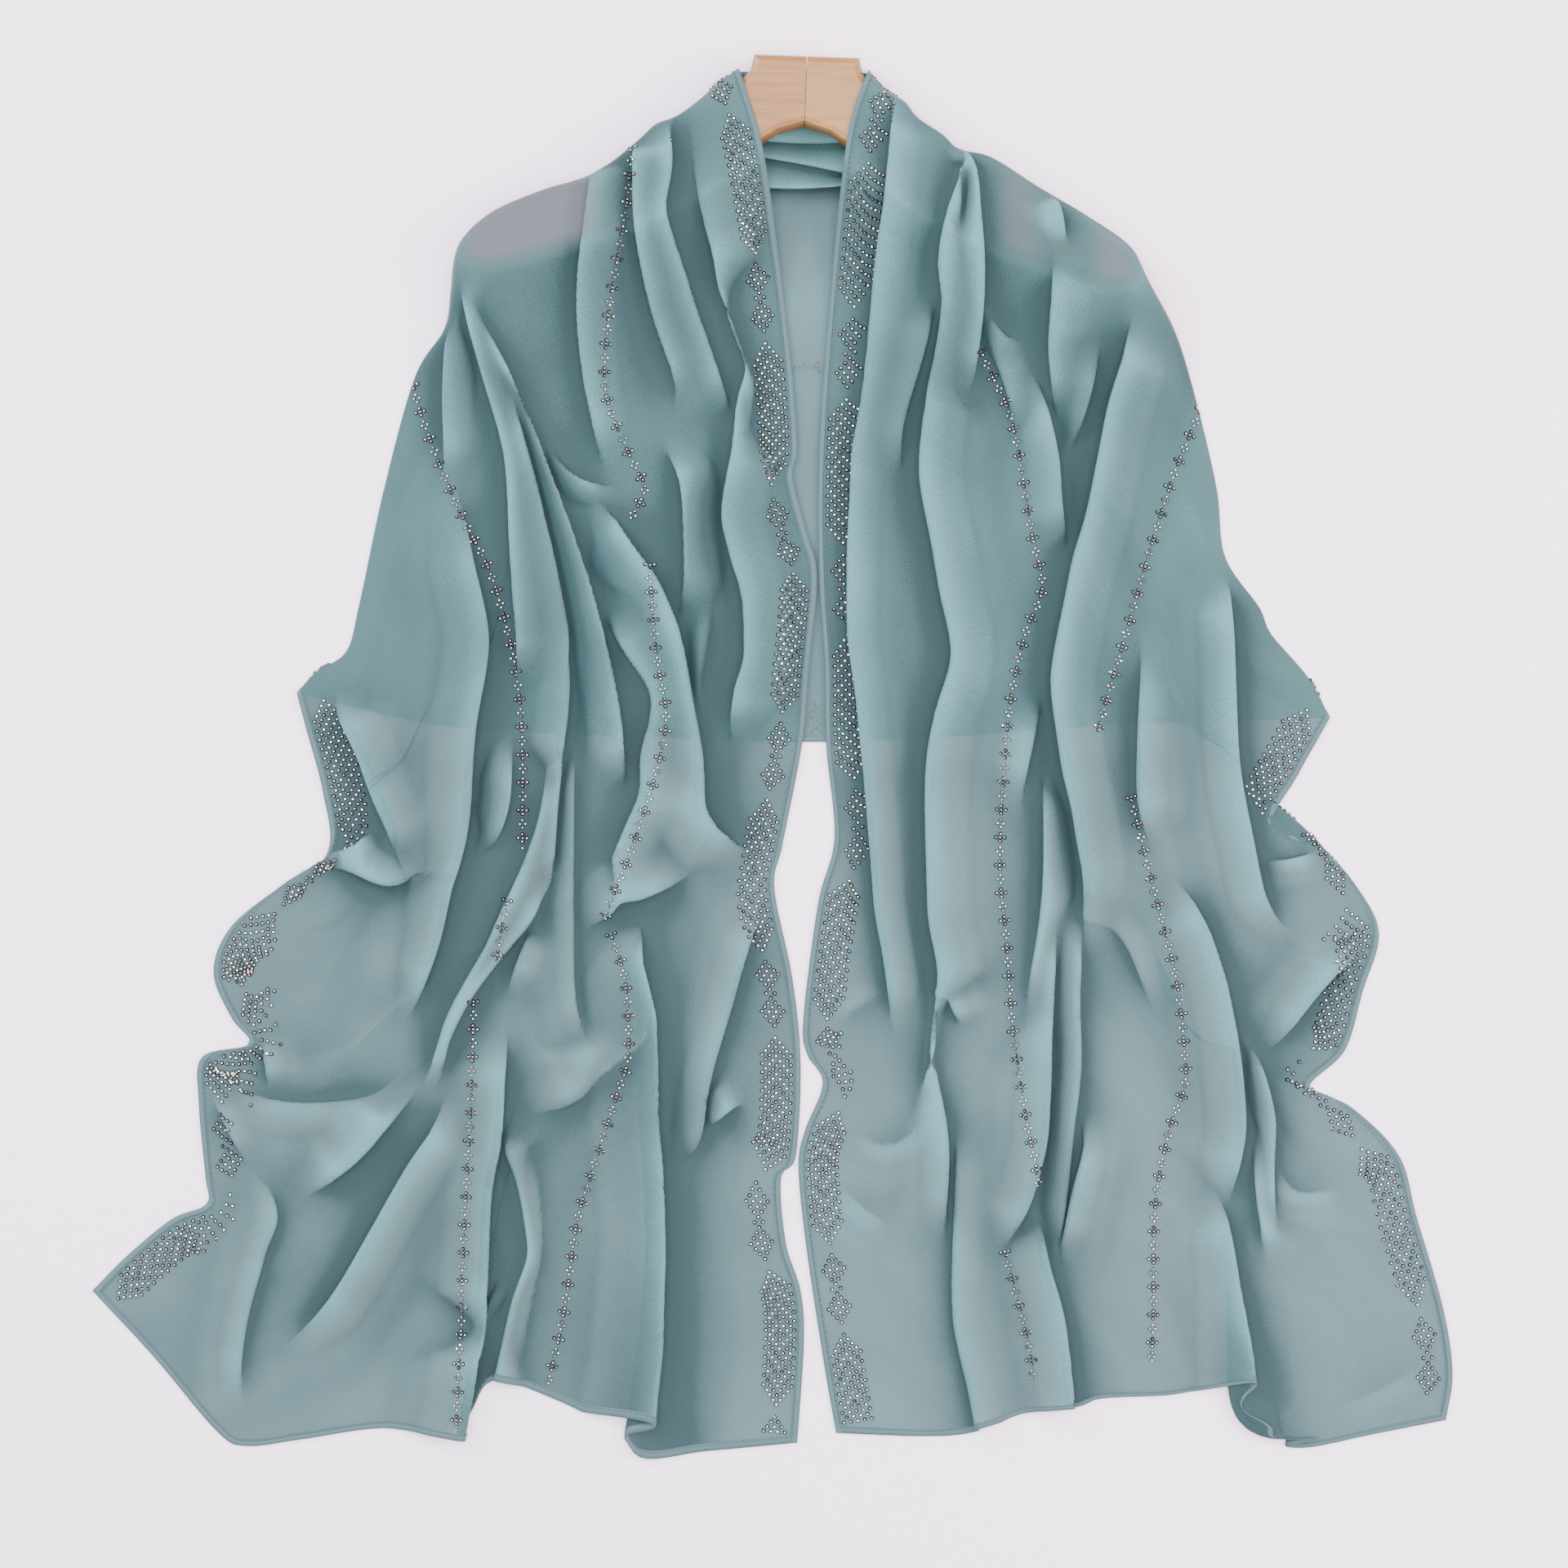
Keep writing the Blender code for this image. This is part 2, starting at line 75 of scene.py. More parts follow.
def smoothPath(points, step=4.0, samples=12):
    # a Catmull-Rom curve through the points, then one point a step along it
    points = np.array(points, dtype=float)
    knots = np.vstack([2 * points[0] - points[1], points, 2 * points[-1] - points[-2]])
    curve = []
    for index in range(1, len(knots) - 2):
        p0, p1, p2, p3 = knots[index - 1:index + 3]
        for t in np.linspace(0.0, 1.0, samples, endpoint=False):
            curve.append(0.5 * (2 * p1 + (p2 - p0) * t + (2 * p0 - 5 * p1 + 4 * p2 - p3) * t ** 2
                                + (3 * p1 - p0 - 3 * p2 + p3) * t ** 3))
    curve = np.array(curve + [points[-1]])
    run = runAlong(curve)
    even = np.linspace(0.0, run[-1], max(2, int(run[-1] / step) + 1))
    return np.column_stack([np.interp(even, run, curve[:, 0]), np.interp(even, run, curve[:, 1])])


def foldPath(points):
    # a flowing line: the points of a fold, evened out over about 20 mm
    path = smoothPath(points)
    for _ in range(2):
        if len(path) > 6:
            wide = np.vstack([path[:1], path[:1], path, path[-1:], path[-1:]])
            mean = (wide[:-4] + 2 * wide[1:-3] + 3 * wide[2:-2] + 2 * wide[3:-1] + wide[4:]) / 9
            path = np.vstack([path[:1], mean[1:-1], path[-1:]])
    return path


def nearPath(path, x, y):
    # signed distance (left of the travel is plus), run and left normal of the nearest point
    steps = np.diff(path, axis=0)
    lengths = np.hypot(steps[:, 0], steps[:, 1])
    run = runAlong(path)
    normals = np.column_stack([-steps[:, 1], steps[:, 0]]) / lengths[:, None]
    joined = unit(np.vstack([normals[:1], normals[:-1] + normals[1:], normals[-1:]]))
    best = np.full(x.shape, np.inf)
    side = np.ones(x.shape)
    where = np.zeros(x.shape)
    for index, (ax, ay) in enumerate(path[:-1]):
        tx, ty = steps[index] / lengths[index]
        px, py = x - ax, y - ay
        along = np.clip(px * tx + py * ty, 0.0, lengths[index])
        dx, dy = px - along * tx, py - along * ty
        squared = dx * dx + dy * dy
        closer = squared < best
        best = np.where(closer, squared, best)
        side = np.where(closer, np.sign(tx * dy - ty * dx), side)
        where = np.where(closer, run[index] + along, where)
    return (np.sqrt(best) * side, where,
            np.interp(where, run, joined[:, 0]), np.interp(where, run, joined[:, 1]))


# The hanger, and the heights at which the cloth lies
hanger = {
    # half of the outline, as (distance from the middle, y), from the neck round the shoulder
    "half": [
        (0, 427), (32, 427), (34, 417), (48, 403), (59, 393), (76, 382), (89, 372), (104, 363),
        (129, 348), (160, 335), (188, 320), (197, 312), (200, 306), (197, 300), (184, 300), (158, 307),
        (132, 316), (104, 327), (76, 341), (52, 357), (30, 372), (16, 381), (0, 386)],
    "middle": 19.0,
    "pivot": 400.0,
    "tilt": math.radians(-2.0),
    "onWood": 26.4,        # height of cloth that lies on an arm
    "margin": 10.0,        # it keeps that height this far past the wood
    "fall": 92.0,          # and comes down over this width
}
rest = {"onSurface": 1.0, "onBack": 2.4, "beyondBack": 30.0, "stepDown": 22.0}


def hangerOutline():
    cosine, sine = math.cos(hanger["tilt"]), math.sin(hanger["tilt"])
    right, left = [], []
    for dx, y in hanger["half"]:
        dy = y - hanger["pivot"]
        for side, row in ((1, right), (-1, left)):
            row.append((hanger["middle"] + side * dx * cosine - dy * sine,
                        hanger["pivot"] + side * dx * sine + dy * cosine))
    return right + left[-2:0:-1]


def insideOutline(outline, x, y):
    inside = np.zeros(x.shape, dtype=bool)
    for (ax, ay), (bx, by) in zip(outline, outline[1:] + outline[:1]):
        crosses = (ay > y) != (by > y)
        rise = by - ay if by != ay else 1e-9
        inside ^= crosses & (x < ax + (y - ay) * (bx - ax) / rise)
    return inside


def fromHanger(x, y):
    # distance from the edge of the hanger, and whether a point is inside it
    outline = hangerOutline()
    edge = np.array(outline + outline[:1], dtype=float)
    return np.abs(nearPath(edge, x, y)[0]), insideOutline(outline, x, y)


def baseHeight(x, y, backHem):
    # where the cloth lies: on the surface, on the back, or over an arm of the hanger
    distance, inside = fromHanger(x, y)
    distance = np.where(inside, 0.0, distance)
    fall = np.clip((distance - hanger["margin"]) / hanger["fall"], 0.0, 1.0)
    edge = np.interp(x, backHem[:, 0], backHem[:, 1])
    onBack = smoothStep((y - edge + rest["beyondBack"]) / rest["stepDown"])
    ground = rest["onSurface"] + (rest["onBack"] - rest["onSurface"]) * onBack
    return ground + (hanger["onWood"] - ground) * (1.0 - fall) ** 2


# Outlines of the cloth. The top is the line where it turns over the hanger.
leftFront = {
    "bareArm": [(-230, -100, 0.95)],  # from x, to x, how clearly the arm shows through
    "gathered": (-118, 10),           # from x, to x, several layers at the shoulder
    "depth": 0.12,                    # painted shade: how much darker this front is painted than the right front
    "top": [(-22, 421), (-34, 413), (-46, 402), (-60, 392), (-73, 387), (-86, 375), (-111, 357),
        (-142, 347), (-172, 334), (-190, 318), (-196, 303), (-198, 285), (-202, 263), (-220, 234),
        (-239, 165), (-254, 95), (-262, 66), (-280, 54), (-292, 41)],
    "inner": [(-22, 421), (-8, 375), (2, 312), (10, 245), (14, 191), (11, 174), (19, 141), (26, 112),
        (21, 54), (17, 10), (5, -52), (0, -79), (11, -134), (16, -186), (13, -243), (4, -256), (7, -296),
        (16, -325), (18, -357), (14, -418)],
    "outer": [(-292, 41), (-286, 18), (-276, -20), (-273, -56), (-300, -76), (-332, -102), (-343, -130),
        (-332, -158), (-321, -174), (-350, -182), (-352, -210), (-348, -255), (-347, -272), (-368, -281),
        (-395, -303), (-417, -325)],
    "hem": [(14, -418), (-40, -423), (-80, -427), (-96, -411), (-135, -391), (-172, -380), (-186, -400),
        (-200, -413), (-240, -409), (-290, -416), (-322, -420), (-340, -412), (-380, -365), (-417, -325)],
}
rightFront = {
    "bareArm": [(134, 160, 0.5), (196, 228, 0.65)],
    "gathered": (20, 150),
    "depth": 0.0,
    "top": [(58, 420), (67, 409), (80, 401), (88, 391), (103, 381), (113, 372), (133, 367), (163, 348),
        (190, 332), (217, 313), (228, 293), (246, 260), (259, 217), (271, 165), (276, 124), (297, 93),
        (304, 77), (327, 50), (340, 26)],
    "inner": [(58, 420), (47, 389), (41, 350), (35, 289), (29, 215), (27, 160), (28, 105), (31, 60),
        (32, 8), (37, -48), (27, -88), (18, -158), (20, -180), (30, -198), (19, -227), (15, -250),
        (20, -300), (31, -372), (38, -412)],
    "outer": [(340, 26), (320, -10), (304, -42), (336, -56), (358, -80), (370, -107), (360, -142),
        (349, -178), (327, -201), (352, -212), (382, -242), (393, -280), (409, -335), (415, -375),
        (411, -404)],
    "hem": [(38, -412), (95, -414), (124, -411), (152, -400), (186, -396), (200, -391), (240, -389),
        (262, -386), (274, -391), (283, -411), (300, -417), (325, -421), (370, -412), (411, -404)],
}
backHemLine = [(-292, 41), (-230, 26), (-185, 19), (-100, 15), (20, 11), (120, 15), (200, 21), (340, 26)]

# Folds: the crisp edge runs through the path, which starts at its upper or left end.
# over is 1 where the cloth on the right of the travel lies over the left, -1 the other way.
# A half width or a lean is one number, or a list of (run, number).
# Columns: over, half width, rise, lean in half widths, fade in, fade out, path
leftFolds = [
    (-1, 10, 9, 1.8, 120, 40, [(-53, 400), (-50, 370), (-47, 345), (-43, 325), (-38, 305), (-33, 280),
        (-26, 258), (-20, 243), (-19, 233), (-23, 220), (-25, 200), (-28, 185), (-31, 170), (-34, 148),
        (-30, 130), (-26, 115), (-21, 100), (-20, 80), (-20, 58), (-25, 48), (-27, 35), (-27, 15),
        (-25, 0)]),
    (1, 6, 4, 0.9, 36, 36, [(-30, 300), (-24, 270), (-16, 250), (-12, 238), (-12, 225), (-15, 205),
        (-18, 190)]),
    (1, 11, 9, 1.6, 0, 36, [(-62, 388), (-61, 370), (-62, 350), (-66, 338), (-62, 320), (-55, 300),
        (-47, 275), (-38, 250), (-33, 235), (-28, 220), (-25, 203)]),
    (-1, 10, 8, 1.7, 0, 36, [(-86, 376), (-86, 335), (-84, 315), (-80, 292), (-74, 268), (-67, 248),
        (-61, 232), (-60, 220), (-62, 208)]),
    (-1, 9, 7, 1.5, 0, 45, [(-111, 357), (-114, 340), (-117, 315), (-120, 295), (-121, 270), (-119, 245),
        (-116, 225), (-112, 206), (-108, 190), (-103, 176), (-96, 168)]),
    (1, 7, 6, 1.2, 36, 36, [(-142, 198), (-133, 184), (-120, 172), (-108, 168), (-92, 166)]),
    (-1, 9, 9, 1.8, 36, 36, [(-192, 296), (-190, 280), (-186, 262), (-181, 243), (-175, 222), (-169, 202),
        (-165, 185), (-163, 160), (-162, 130), (-160, 100), (-158, 75), (-157, 50), (-158, 38)]),
    (1, 8, 7, 1.6, 40, 36, [(-165, 235), (-158, 215), (-152, 195), (-145, 170), (-139, 145), (-134, 125),
        (-129, 100), (-125, 80), (-125, 60), (-124, 40), (-126, 20), (-128, 5), (-131, -20), (-133, -45),
        (-134, -62), (-138, -78), (-144, -90)]),
    (1, 8, 8, 1.7, 50, 36, [(-188, 286), (-178, 268), (-168, 250), (-160, 235), (-152, 215), (-145, 200),
        (-139, 183), (-130, 160), (-121, 135), (-113, 112), (-106, 88), (-99, 60), (-94, 35), (-91, 10),
        (-91, -25)]),
    (1, 12, 11, 1.8, 40, 36, [(-112, 165), (-104, 154), (-92, 142), (-84, 130), (-76, 120), (-69, 108),
        (-63, 95), (-58, 82), (-54, 65), (-51, 48), (-48, 30), (-44, 12), (-42, -5), (-41, -25), (-35, -38),
        (-22, -52), (-10, -64)]),
    (-1, 9, 8, 1.5, 36, 36, [(-108, 98), (-101, 82), (-92, 65), (-83, 52), (-76, 42), (-75, 30), (-79, 15),
        (-83, 0), (-82, -18), (-87, -30), (-93, -44), (-99, -58), (-104, -72), (-108, -85)]),
    (-1, 9, 8, 1.6, 36, 36, [(-73, 200), (-66, 188), (-60, 175), (-57, 160), (-56, 135), (-56, 100),
        (-59, 88), (-58, 78)]),
    (1, [(0, 12), (260, 12), (330, 7)], 9, 1.4, 70, 36, [(-196, 180), (-191, 155), (-184, 128), (-177, 100),
        (-173, 80), (-173, 65), (-176, 45), (-180, 25), (-182, 5), (-183, -10), (-184, -30), (-187, -50),
        (-192, -66), (-197, -85), (-201, -103), (-206, -120), (-213, -138), (-220, -152), (-226, -164)]),
    (1, 8, 8, 1.3, 36, 36, [(-160, 20), (-160, -20), (-163, -35), (-168, -48), (-176, -57), (-184, -64)]),
    (-1, 7, 9, 1.2, 36, 36, [(-139, 5), (-141, -20), (-145, -40), (-152, -60), (-160, -78), (-168, -95),
        (-177, -115), (-187, -132), (-197, -150), (-204, -166), (-209, -185), (-217, -205)]),
    (1, 7, 9, 1.3, 36, 36, [(-134, -62), (-140, -80), (-146, -97), (-155, -108), (-163, -118), (-172, -129),
        (-182, -142), (-190, -155), (-197, -170), (-203, -190), (-208, -205)]),
    (-1, 7, 7, 1.2, 36, 36, [(-146, -96), (-151, -107), (-156, -120), (-161, -133), (-165, -147)]),
    (1, 6, 5, 1.0, 36, 36, [(-121, 15), (-122, -20), (-122, -130), (-120, -150), (-117, -167),
        (-110, -180)]),
    (1, 12, 8, 1.5, 36, 0, [(-163, -160), (-163, -178), (-164, -200), (-166, -235), (-170, -255),
        (-172, -280), (-173, -310), (-175, -340), (-180, -375), (-187, -415)]),
    (-1, 7, 8, 1.2, 36, 0, [(-163, -215), (-166, -237), (-160, -250), (-155, -270), (-151, -295),
        (-150, -303), (-156, -318), (-161, -332), (-166, -355), (-172, -382)]),
    (1, 4, 2, 0.6, 36, 36, [(-150, -235), (-146, -250), (-143, -270), (-142, -303), (-146, -320),
        (-150, -340), (-154, -360), (-158, -380)]),
    (-1, 5, 4, 1.0, 36, 0, [(-168, -315), (-176, -335), (-181, -352), (-184, -366)]),
    (-1, 12, 10, 1.6, 36, 36, [(-121, -108), (-108, -100), (-95, -93), (-80, -86), (-65, -80), (-54, -72),
        (-44, -67)]),
    (1, 15, 8, [(0, 2.2), (220, 2.2), (330, 3.3)], 36, 0, [(-85, -90), (-82, -102), (-77, -118),
        (-72, -135), (-67, -152), (-65, -170), (-64, -200), (-64, -222), (-62, -240), (-61, -260),
        (-61, -290), (-60, -320), (-58, -350), (-57, -380), (-57, -412)]),
    (1, 8, 6, 1.2, 36, 36, [(-6, -85), (-11, -103), (-18, -125), (-25, -150), (-31, -170), (-37, -190),
        (-41, -210), (-43, -228), (-48, -240), (-56, -248), (-61, -254)]),
    (-1, 8, 8, 1.2, 36, 36, [(-43, -228), (-33, -220), (-24, -212), (-15, -210)]),
    (1, 14, 7, 0.4, 36, 36, [(-98, -155), (-104, -185), (-112, -203), (-130, -214), (-155, -217)]),
    (1, 9, 6, 0.4, 36, 36, [(-35, 110), (-38, 85), (-42, 60), (-44, 40), (-38, 25)]),
    (-1, 10, 7, 1.6, 36, 36, [(-267, 48), (-269, 36), (-267, 24), (-262, 14), (-256, 2), (-251, -12),
        (-246, -26), (-240, -39), (-234, -52), (-229, -64), (-226, -75)]),
    (1, 8, 8, 1.2, 36, 36, [(-276, -58), (-262, -53), (-250, -47), (-240, -42)]),
    (-1, 9, 9, 1.3, 36, 36, [(-282, -67), (-268, -66), (-256, -70), (-246, -76), (-236, -79), (-228, -78),
        (-220, -72), (-210, -66), (-198, -66)]),
    (1, 10, -1.2, 0.0, 36, 36, [(-305, -103), (-285, -106), (-268, -103), (-256, -92), (-248, -82)]),
    (1, 12, 6, 0.6, 36, 40, [(-335, -200), (-322, -204), (-306, -208), (-290, -210), (-270, -209),
        (-252, -207), (-238, -201), (-226, -190)]),
    (-1, 6, 5, 1.0, 36, 36, [(-315, -168), (-312, -182), (-311, -192), (-309, -205)]),
    (1, 11, 9, 1.5, 36, 36, [(-216, -198), (-222, -208), (-230, -218), (-238, -229), (-247, -240),
        (-258, -250), (-270, -259), (-283, -266), (-293, -272)]),
    (-1, 10, 9, 1.3, 36, 50, [(-200, -200), (-204, -215), (-212, -230), (-221, -242), (-230, -257),
        (-238, -271), (-247, -287), (-256, -303), (-266, -320), (-278, -337), (-291, -351), (-305, -364)]),
    (1, 8, 6, 0.8, 36, 36, [(-322, -250), (-312, -258), (-305, -269), (-302, -281), (-305, -289),
        (-310, -298), (-313, -312), (-318, -328), (-322, -345), (-325, -365), (-326, -385), (-324, -402)]),
    (-1, 6, 4, 0.8, 36, 36, [(-346, -200), (-342, -212), (-336, -224), (-329, -238), (-320, -250)]),
    (-1, 9, 6, 1.0, 36, 40, [(-193, 285), (-199, 265), (-202, 240), (-203, 215), (-202, 190), (-204, 160)]),
]
rightFolds = [
    (-1, 8, 6, 1.4, 0, 40, [(72, 400), (69, 370), (66, 340), (62, 315), (60, 295), (58, 270), (56, 250),
        (54, 230), (51, 210), (47, 190), (46, 170), (45, 150), (44, 130), (44, 80), (46, 60), (49, 40),
        (51, 20), (53, 0), (55, -20), (57, -45), (59, -70), (61, -95), (65, -115), (68, -135), (72, -165),
        (74, -175)]),
    (-1, [(0, 6), (90, 8), (160, 11)], 9, 1.5, 0, 36, [(113, 370), (111, 358), (108, 345), (104, 330),
        (101, 318), (99, 305), (99, 295), (101, 288), (102, 278), (101, 270), (100, 262), (98, 250),
        (95, 235), (92, 222), (90, 210), (88, 195), (87, 180), (88, 165), (91, 150), (95, 130), (98, 112),
        (100, 100), (103, 88), (106, 75), (107, 62), (104, 50), (100, 40), (96, 25), (93, 10), (91, -10),
        (91, -40), (92, -75), (93, -100), (97, -118), (99, -132), (98, -150), (95, -168), (93, -187),
        (90, -203), (84, -218)]),
    (1, 10, 7, 1.3, 36, 40, [(99, 290), (97, 272), (94, 256), (89, 238), (84, 222), (80, 208), (78, 196),
        (78, 165)]),
    (1, 4, 3, 0.8, 0, 36, [(116, 368), (116, 355), (114, 340), (112, 325), (110, 318)]),
    (1, 7, 9, 1.1, 36, 36, [(166, 352), (171, 342), (175, 331), (176, 318), (180, 308)]),
    (1, 7, 8, 1.3, 0, 36, [(116, 370), (121, 365), (124, 352), (125, 335), (127, 315), (128, 298),
        (128, 280), (127, 265), (125, 250), (123, 235), (120, 222), (119, 215)]),
    (-1, 10, 8, 1.4, 36, 36, [(170, 312), (169, 300), (167, 275), (166, 255), (168, 235), (171, 215),
        (175, 198)]),
    (1, 9, 8, 1.3, 36, 36, [(155, 245), (157, 238), (162, 228), (166, 218), (170, 205), (173, 192),
        (175, 180), (176, 160), (178, 140), (179, 120)]),
    (1, 7, 5, 0.8, 36, 36, [(128, 278), (133, 268), (140, 258), (148, 254), (155, 255)]),
    (-1, 8, 5, 0.8, 36, 36, [(126, 262), (132, 250), (138, 235), (143, 220), (146, 205), (148, 195)]),
    (1, 9, 8, 1.2, 40, 36, [(200, 262), (199, 250), (196, 235), (193, 220), (188, 205), (183, 192),
        (178, 182), (175, 178)]),
    (-1, 11, 10, 1.6, 36, 60, [(219, 275), (216, 262), (212, 248), (206, 230), (201, 212), (198, 195),
        (194, 175), (190, 155), (186, 140), (181, 125), (178, 110), (175, 95), (172, 80), (169, 65),
        (167, 50), (168, 35), (171, 15), (173, 0), (176, -15), (180, -30), (183, -50), (186, -65),
        (188, -80), (189, -100), (190, -125)]),
    (1, 9, 8, 1.3, 36, 36, [(167, 45), (163, 32), (160, 18), (157, 2), (154, -12), (151, -26), (155, -38)]),
    (-1, 8, 8, 1.4, 36, 60, [(164, 0), (164, -60), (163, -80), (162, -95), (160, -110), (155, -140),
        (153, -170)]),
    (1, 9, 8, 1.4, 36, 36, [(174, -95), (173, -110), (172, -130), (171, -150), (170, -170), (170, -190),
        (169, -210), (168, -230), (165, -245), (161, -260), (159, -268), (154, -280), (147, -290),
        (140, -300), (132, -309)]),
    (1, 7, 6, 1.0, 36, 36, [(188, -92), (188, -120), (187, -150), (188, -180), (187, -200), (184, -220),
        (181, -250), (179, -270), (176, -290), (173, -312)]),
    (-1, 7, 8, 1.2, 36, 36, [(187, -212), (188, -222), (190, -232), (187, -245), (183, -258), (179, -275),
        (176, -292), (174, -308), (173, -315)]),
    (1, 9, 7, 1.6, 36, 0, [(158, -268), (162, -280), (166, -295), (170, -312), (174, -325), (178, -340),
        (181, -360), (183, -380), (185, -400)]),
    (1, 8, 7, 1.1, 36, 36, [(101, -140), (100, -165), (99, -185), (101, -200), (105, -217), (107, -235),
        (107, -255), (105, -280), (104, -300)]),
    (-1, 8, 5, 1.2, 36, 0, [(108, -222), (111, -236), (110, -262), (109, -290), (108, -320), (109, -345),
        (113, -365), (118, -385), (123, -414)]),
    (-1, 6, 6, 0.8, 36, 36, [(103, -140), (107, -150), (112, -160), (115, -166)]),
    (-1, 9, 7, 1.1, 60, 36, [(222, 90), (224, 60), (222, 30), (221, 0), (221, -20), (223, -35), (228, -48),
        (235, -58)]),
    (1, 10, 8, 1.4, 36, 36, [(240, -70), (252, -80), (260, -92), (267, -105), (272, -120), (277, -135),
        (280, -150), (283, -165), (286, -185), (288, -205), (289, -225), (287, -240), (283, -255),
        (279, -268), (277, -278)]),
    (1, 8, 7, 1.2, 36, 36, [(284, -163), (290, -172), (296, -182), (300, -192), (304, -207), (307, -222),
        (306, -240), (306, -260), (307, -280), (308, -295)]),
    (-1, 7, 6, 1.0, 36, 36, [(293, -225), (293, -245), (294, -265), (297, -285), (299, -300), (302, -315)]),
    (1, [(0, 9), (130, 10)], 7, [(0, 1.4), (60, 1.8), (130, 3.8)], 36, 0, [(267, -258), (272, -268),
        (277, -278), (280, -290), (283, -305), (286, -322), (290, -335), (295, -352), (300, -367),
        (305, -388)]),
    (-1, 8, 7, 1.2, 36, 36, [(297, -185), (307, -175), (318, -163), (328, -150), (338, -138), (348, -128),
        (357, -121), (365, -114)]),
    (1, 9, -1.2, 0.0, 36, 36, [(303, -100), (308, -110), (320, -118), (335, -122), (345, -122)]),
    (1, 5, 5, 1.0, 36, 36, [(296, -62), (315, -61), (328, -57), (337, -55)]),
    (1, 9, 8, 1.4, 36, 36, [(277, 122), (279, 100), (281, 80), (282, 55), (283, 26), (284, 5), (287, -18),
        (291, -38), (295, -58), (299, -78), (304, -92), (312, -102), (322, -108)]),
    (1, 7, 4, 0.4, 36, 36, [(308, -245), (312, -255), (316, -264), (320, -266), (335, -264), (350, -262)]),
    (-1, 9, 5, 0.7, 40, 40, [(188, -92), (195, -98), (205, -102), (213, -110), (219, -122), (224, -135),
        (229, -148), (236, -160)]),
    (1, 8, 3, 0.2, 36, 36, [(70, -140), (52, -152), (35, -165)]),
    (1, 9, 4, 0.3, 36, 36, [(50, -225), (55, -232), (63, -236), (75, -235), (85, -228), (90, -215)]),
    (1, 9, 3, 0.3, 36, 36, [(38, -258), (50, -270), (62, -280), (75, -286)]),
    (1, 10, 2, 0.2, 36, 36, [(340, -400), (360, -390), (380, -380), (405, -365)]),
]
backFolds = [
    (-1, 9, 9, 1.5, 0, 0, [(-30, 349), (18, 348), (66, 352)]),
    (-1, 7, 7, 1.2, 0, 0, [(-30, 371), (18, 363), (66, 352)]),
    (-1, 6, 6, 1.0, 0, 0, [(-30, 380), (18, 376), (66, 378)]),
]

folding = {
    "fadeShare": 0.42,     # the most of its length over which a fold grows or dies
    "mostShift": 36.0,     # how far the cloth may lap
    "dome": 0.4,           # how full the cloth stands behind a fold's edge
    "leastHalf": 2.5,      # half width of a fold that has no room
    "reach": 4.2,          # how far a fold is felt, in half widths past its lean, and then some mm
    "margin": 4.0,
    "topLayer": 4.5,       # widest top layer behind an edge, in half widths
    "lowLean": 0.5,        # a fold that leans less than this takes no room
    "parallel": 0.72,      # cosine of the angle up to which two folds run side by side
    "ahead": 2.0,          # closer than this, two edges meet
    "beside": 5.0,
    "facingShare": 0.5,    # share of the room left by a fold that leans the other way
    "sameShare": 0.9,      # and by one that leans the same way
    "evened": 14,          # passes that even out the room
    "crests": [(0.7, 0.3), (0.3, -0.35)],  # share and setback of the hills that make up the rise
    "narrowing": 0.6,      # how fast a fold that is squeezed loses height
}
# Painted light and shade: how much lighter or darker the folds make the cloth's colour
shading = {
    "fullRise": 9.0,       # a fold this high has its full light and shade
    "crest": 0.42,         # light on the rounded edge, and its width in half widths
    "crestWidth": 1.3,
    "dome": 0.3,           # on the full cloth behind it
    "rim": 0.35,           # on the very edge, and its width in millimetres
    "rimWidth": 1.4,
    "upperLayer": 0.45,    # the light ends here, in half widths in front of the middle
    "valley": 0.5,         # shade in front of the edge, and its width in half widths
    "valleyWidth": 1.15,
    "valleyEnd": 5.0,
    "contact": 0.42,       # painted shadow line where the layers meet, and its width in millimetres
    "contactWidth": 2.0,
    "darkest": -1.1,
    "lightest": 0.9,
    "hollowTone": 0.62,    # painted shade in valleys and painted light on ridges: how far they part in tone
    "hollowDepth": 5.0,    # at this height over the cloth around
    "hollowSpread": 9,
    "gatherTone": 1.25,    # how much darker the cloth is where folds stand close together: partly the extra layers, partly painted shade
    "gatherMost": 0.6,
    "gatherSpread": 14,
}
cloth = {
    "turnReach": 4.0,      # the cloth turns round the fold line within this width
    "turnFade": 14.0,      # and its folds start over this one
    "turnPart": 0.14,      # part of the front, from the top, that can be so near
    "closer": 1.5,         # power by which samples stand closer together near the top
    "fineAcross": 900,     # samples before the even mesh is laid out
    "fineDown": 700,
    "across": 262,
    "down": 370,
    "ripple": 0.55,        # soft unevenness of cloth that lies loose
    "rippleSize": 38.0,
    "rippleStretch": 2.2,
    "crinkle": 0.16,
    "crinkleSize": 9.0,
    "crinkleStretch": 2.0,
    "looseFrom": 18.0,     # it starts over this run
    "loft": 0.3,
    "lowest": 0.8,
}


def hill(place, halfWidth):
    # a soft ridge: 1 at its middle, 0 at its half width
    return np.where(np.abs(place) < halfWidth, np.cos(math.pi * place / (2 * halfWidth)) ** 2, 0.0)


def alongFold(value):
    return np.array(value if isinstance(value, list) else [(0, value), (1, value)], dtype=float).T


def edgeOffset(lean, halfWidth):
    # how far in front of its centre line the visible edge of a fold stands
    turning = lean > 2 * halfWidth / math.pi
    ratio = np.clip(2 * halfWidth / (math.pi * np.maximum(lean, 1e-6)), 0.0, 1.0)
    place = np.where(turning, np.arcsin(ratio) * halfWidth / math.pi, 0.5 * halfWidth)
    return place + lean * hill(place, halfWidth)


def pathNormals(path):
    along = unit(np.gradient(path, axis=0))
    return along, np.column_stack([-along[:, 1], along[:, 0]])


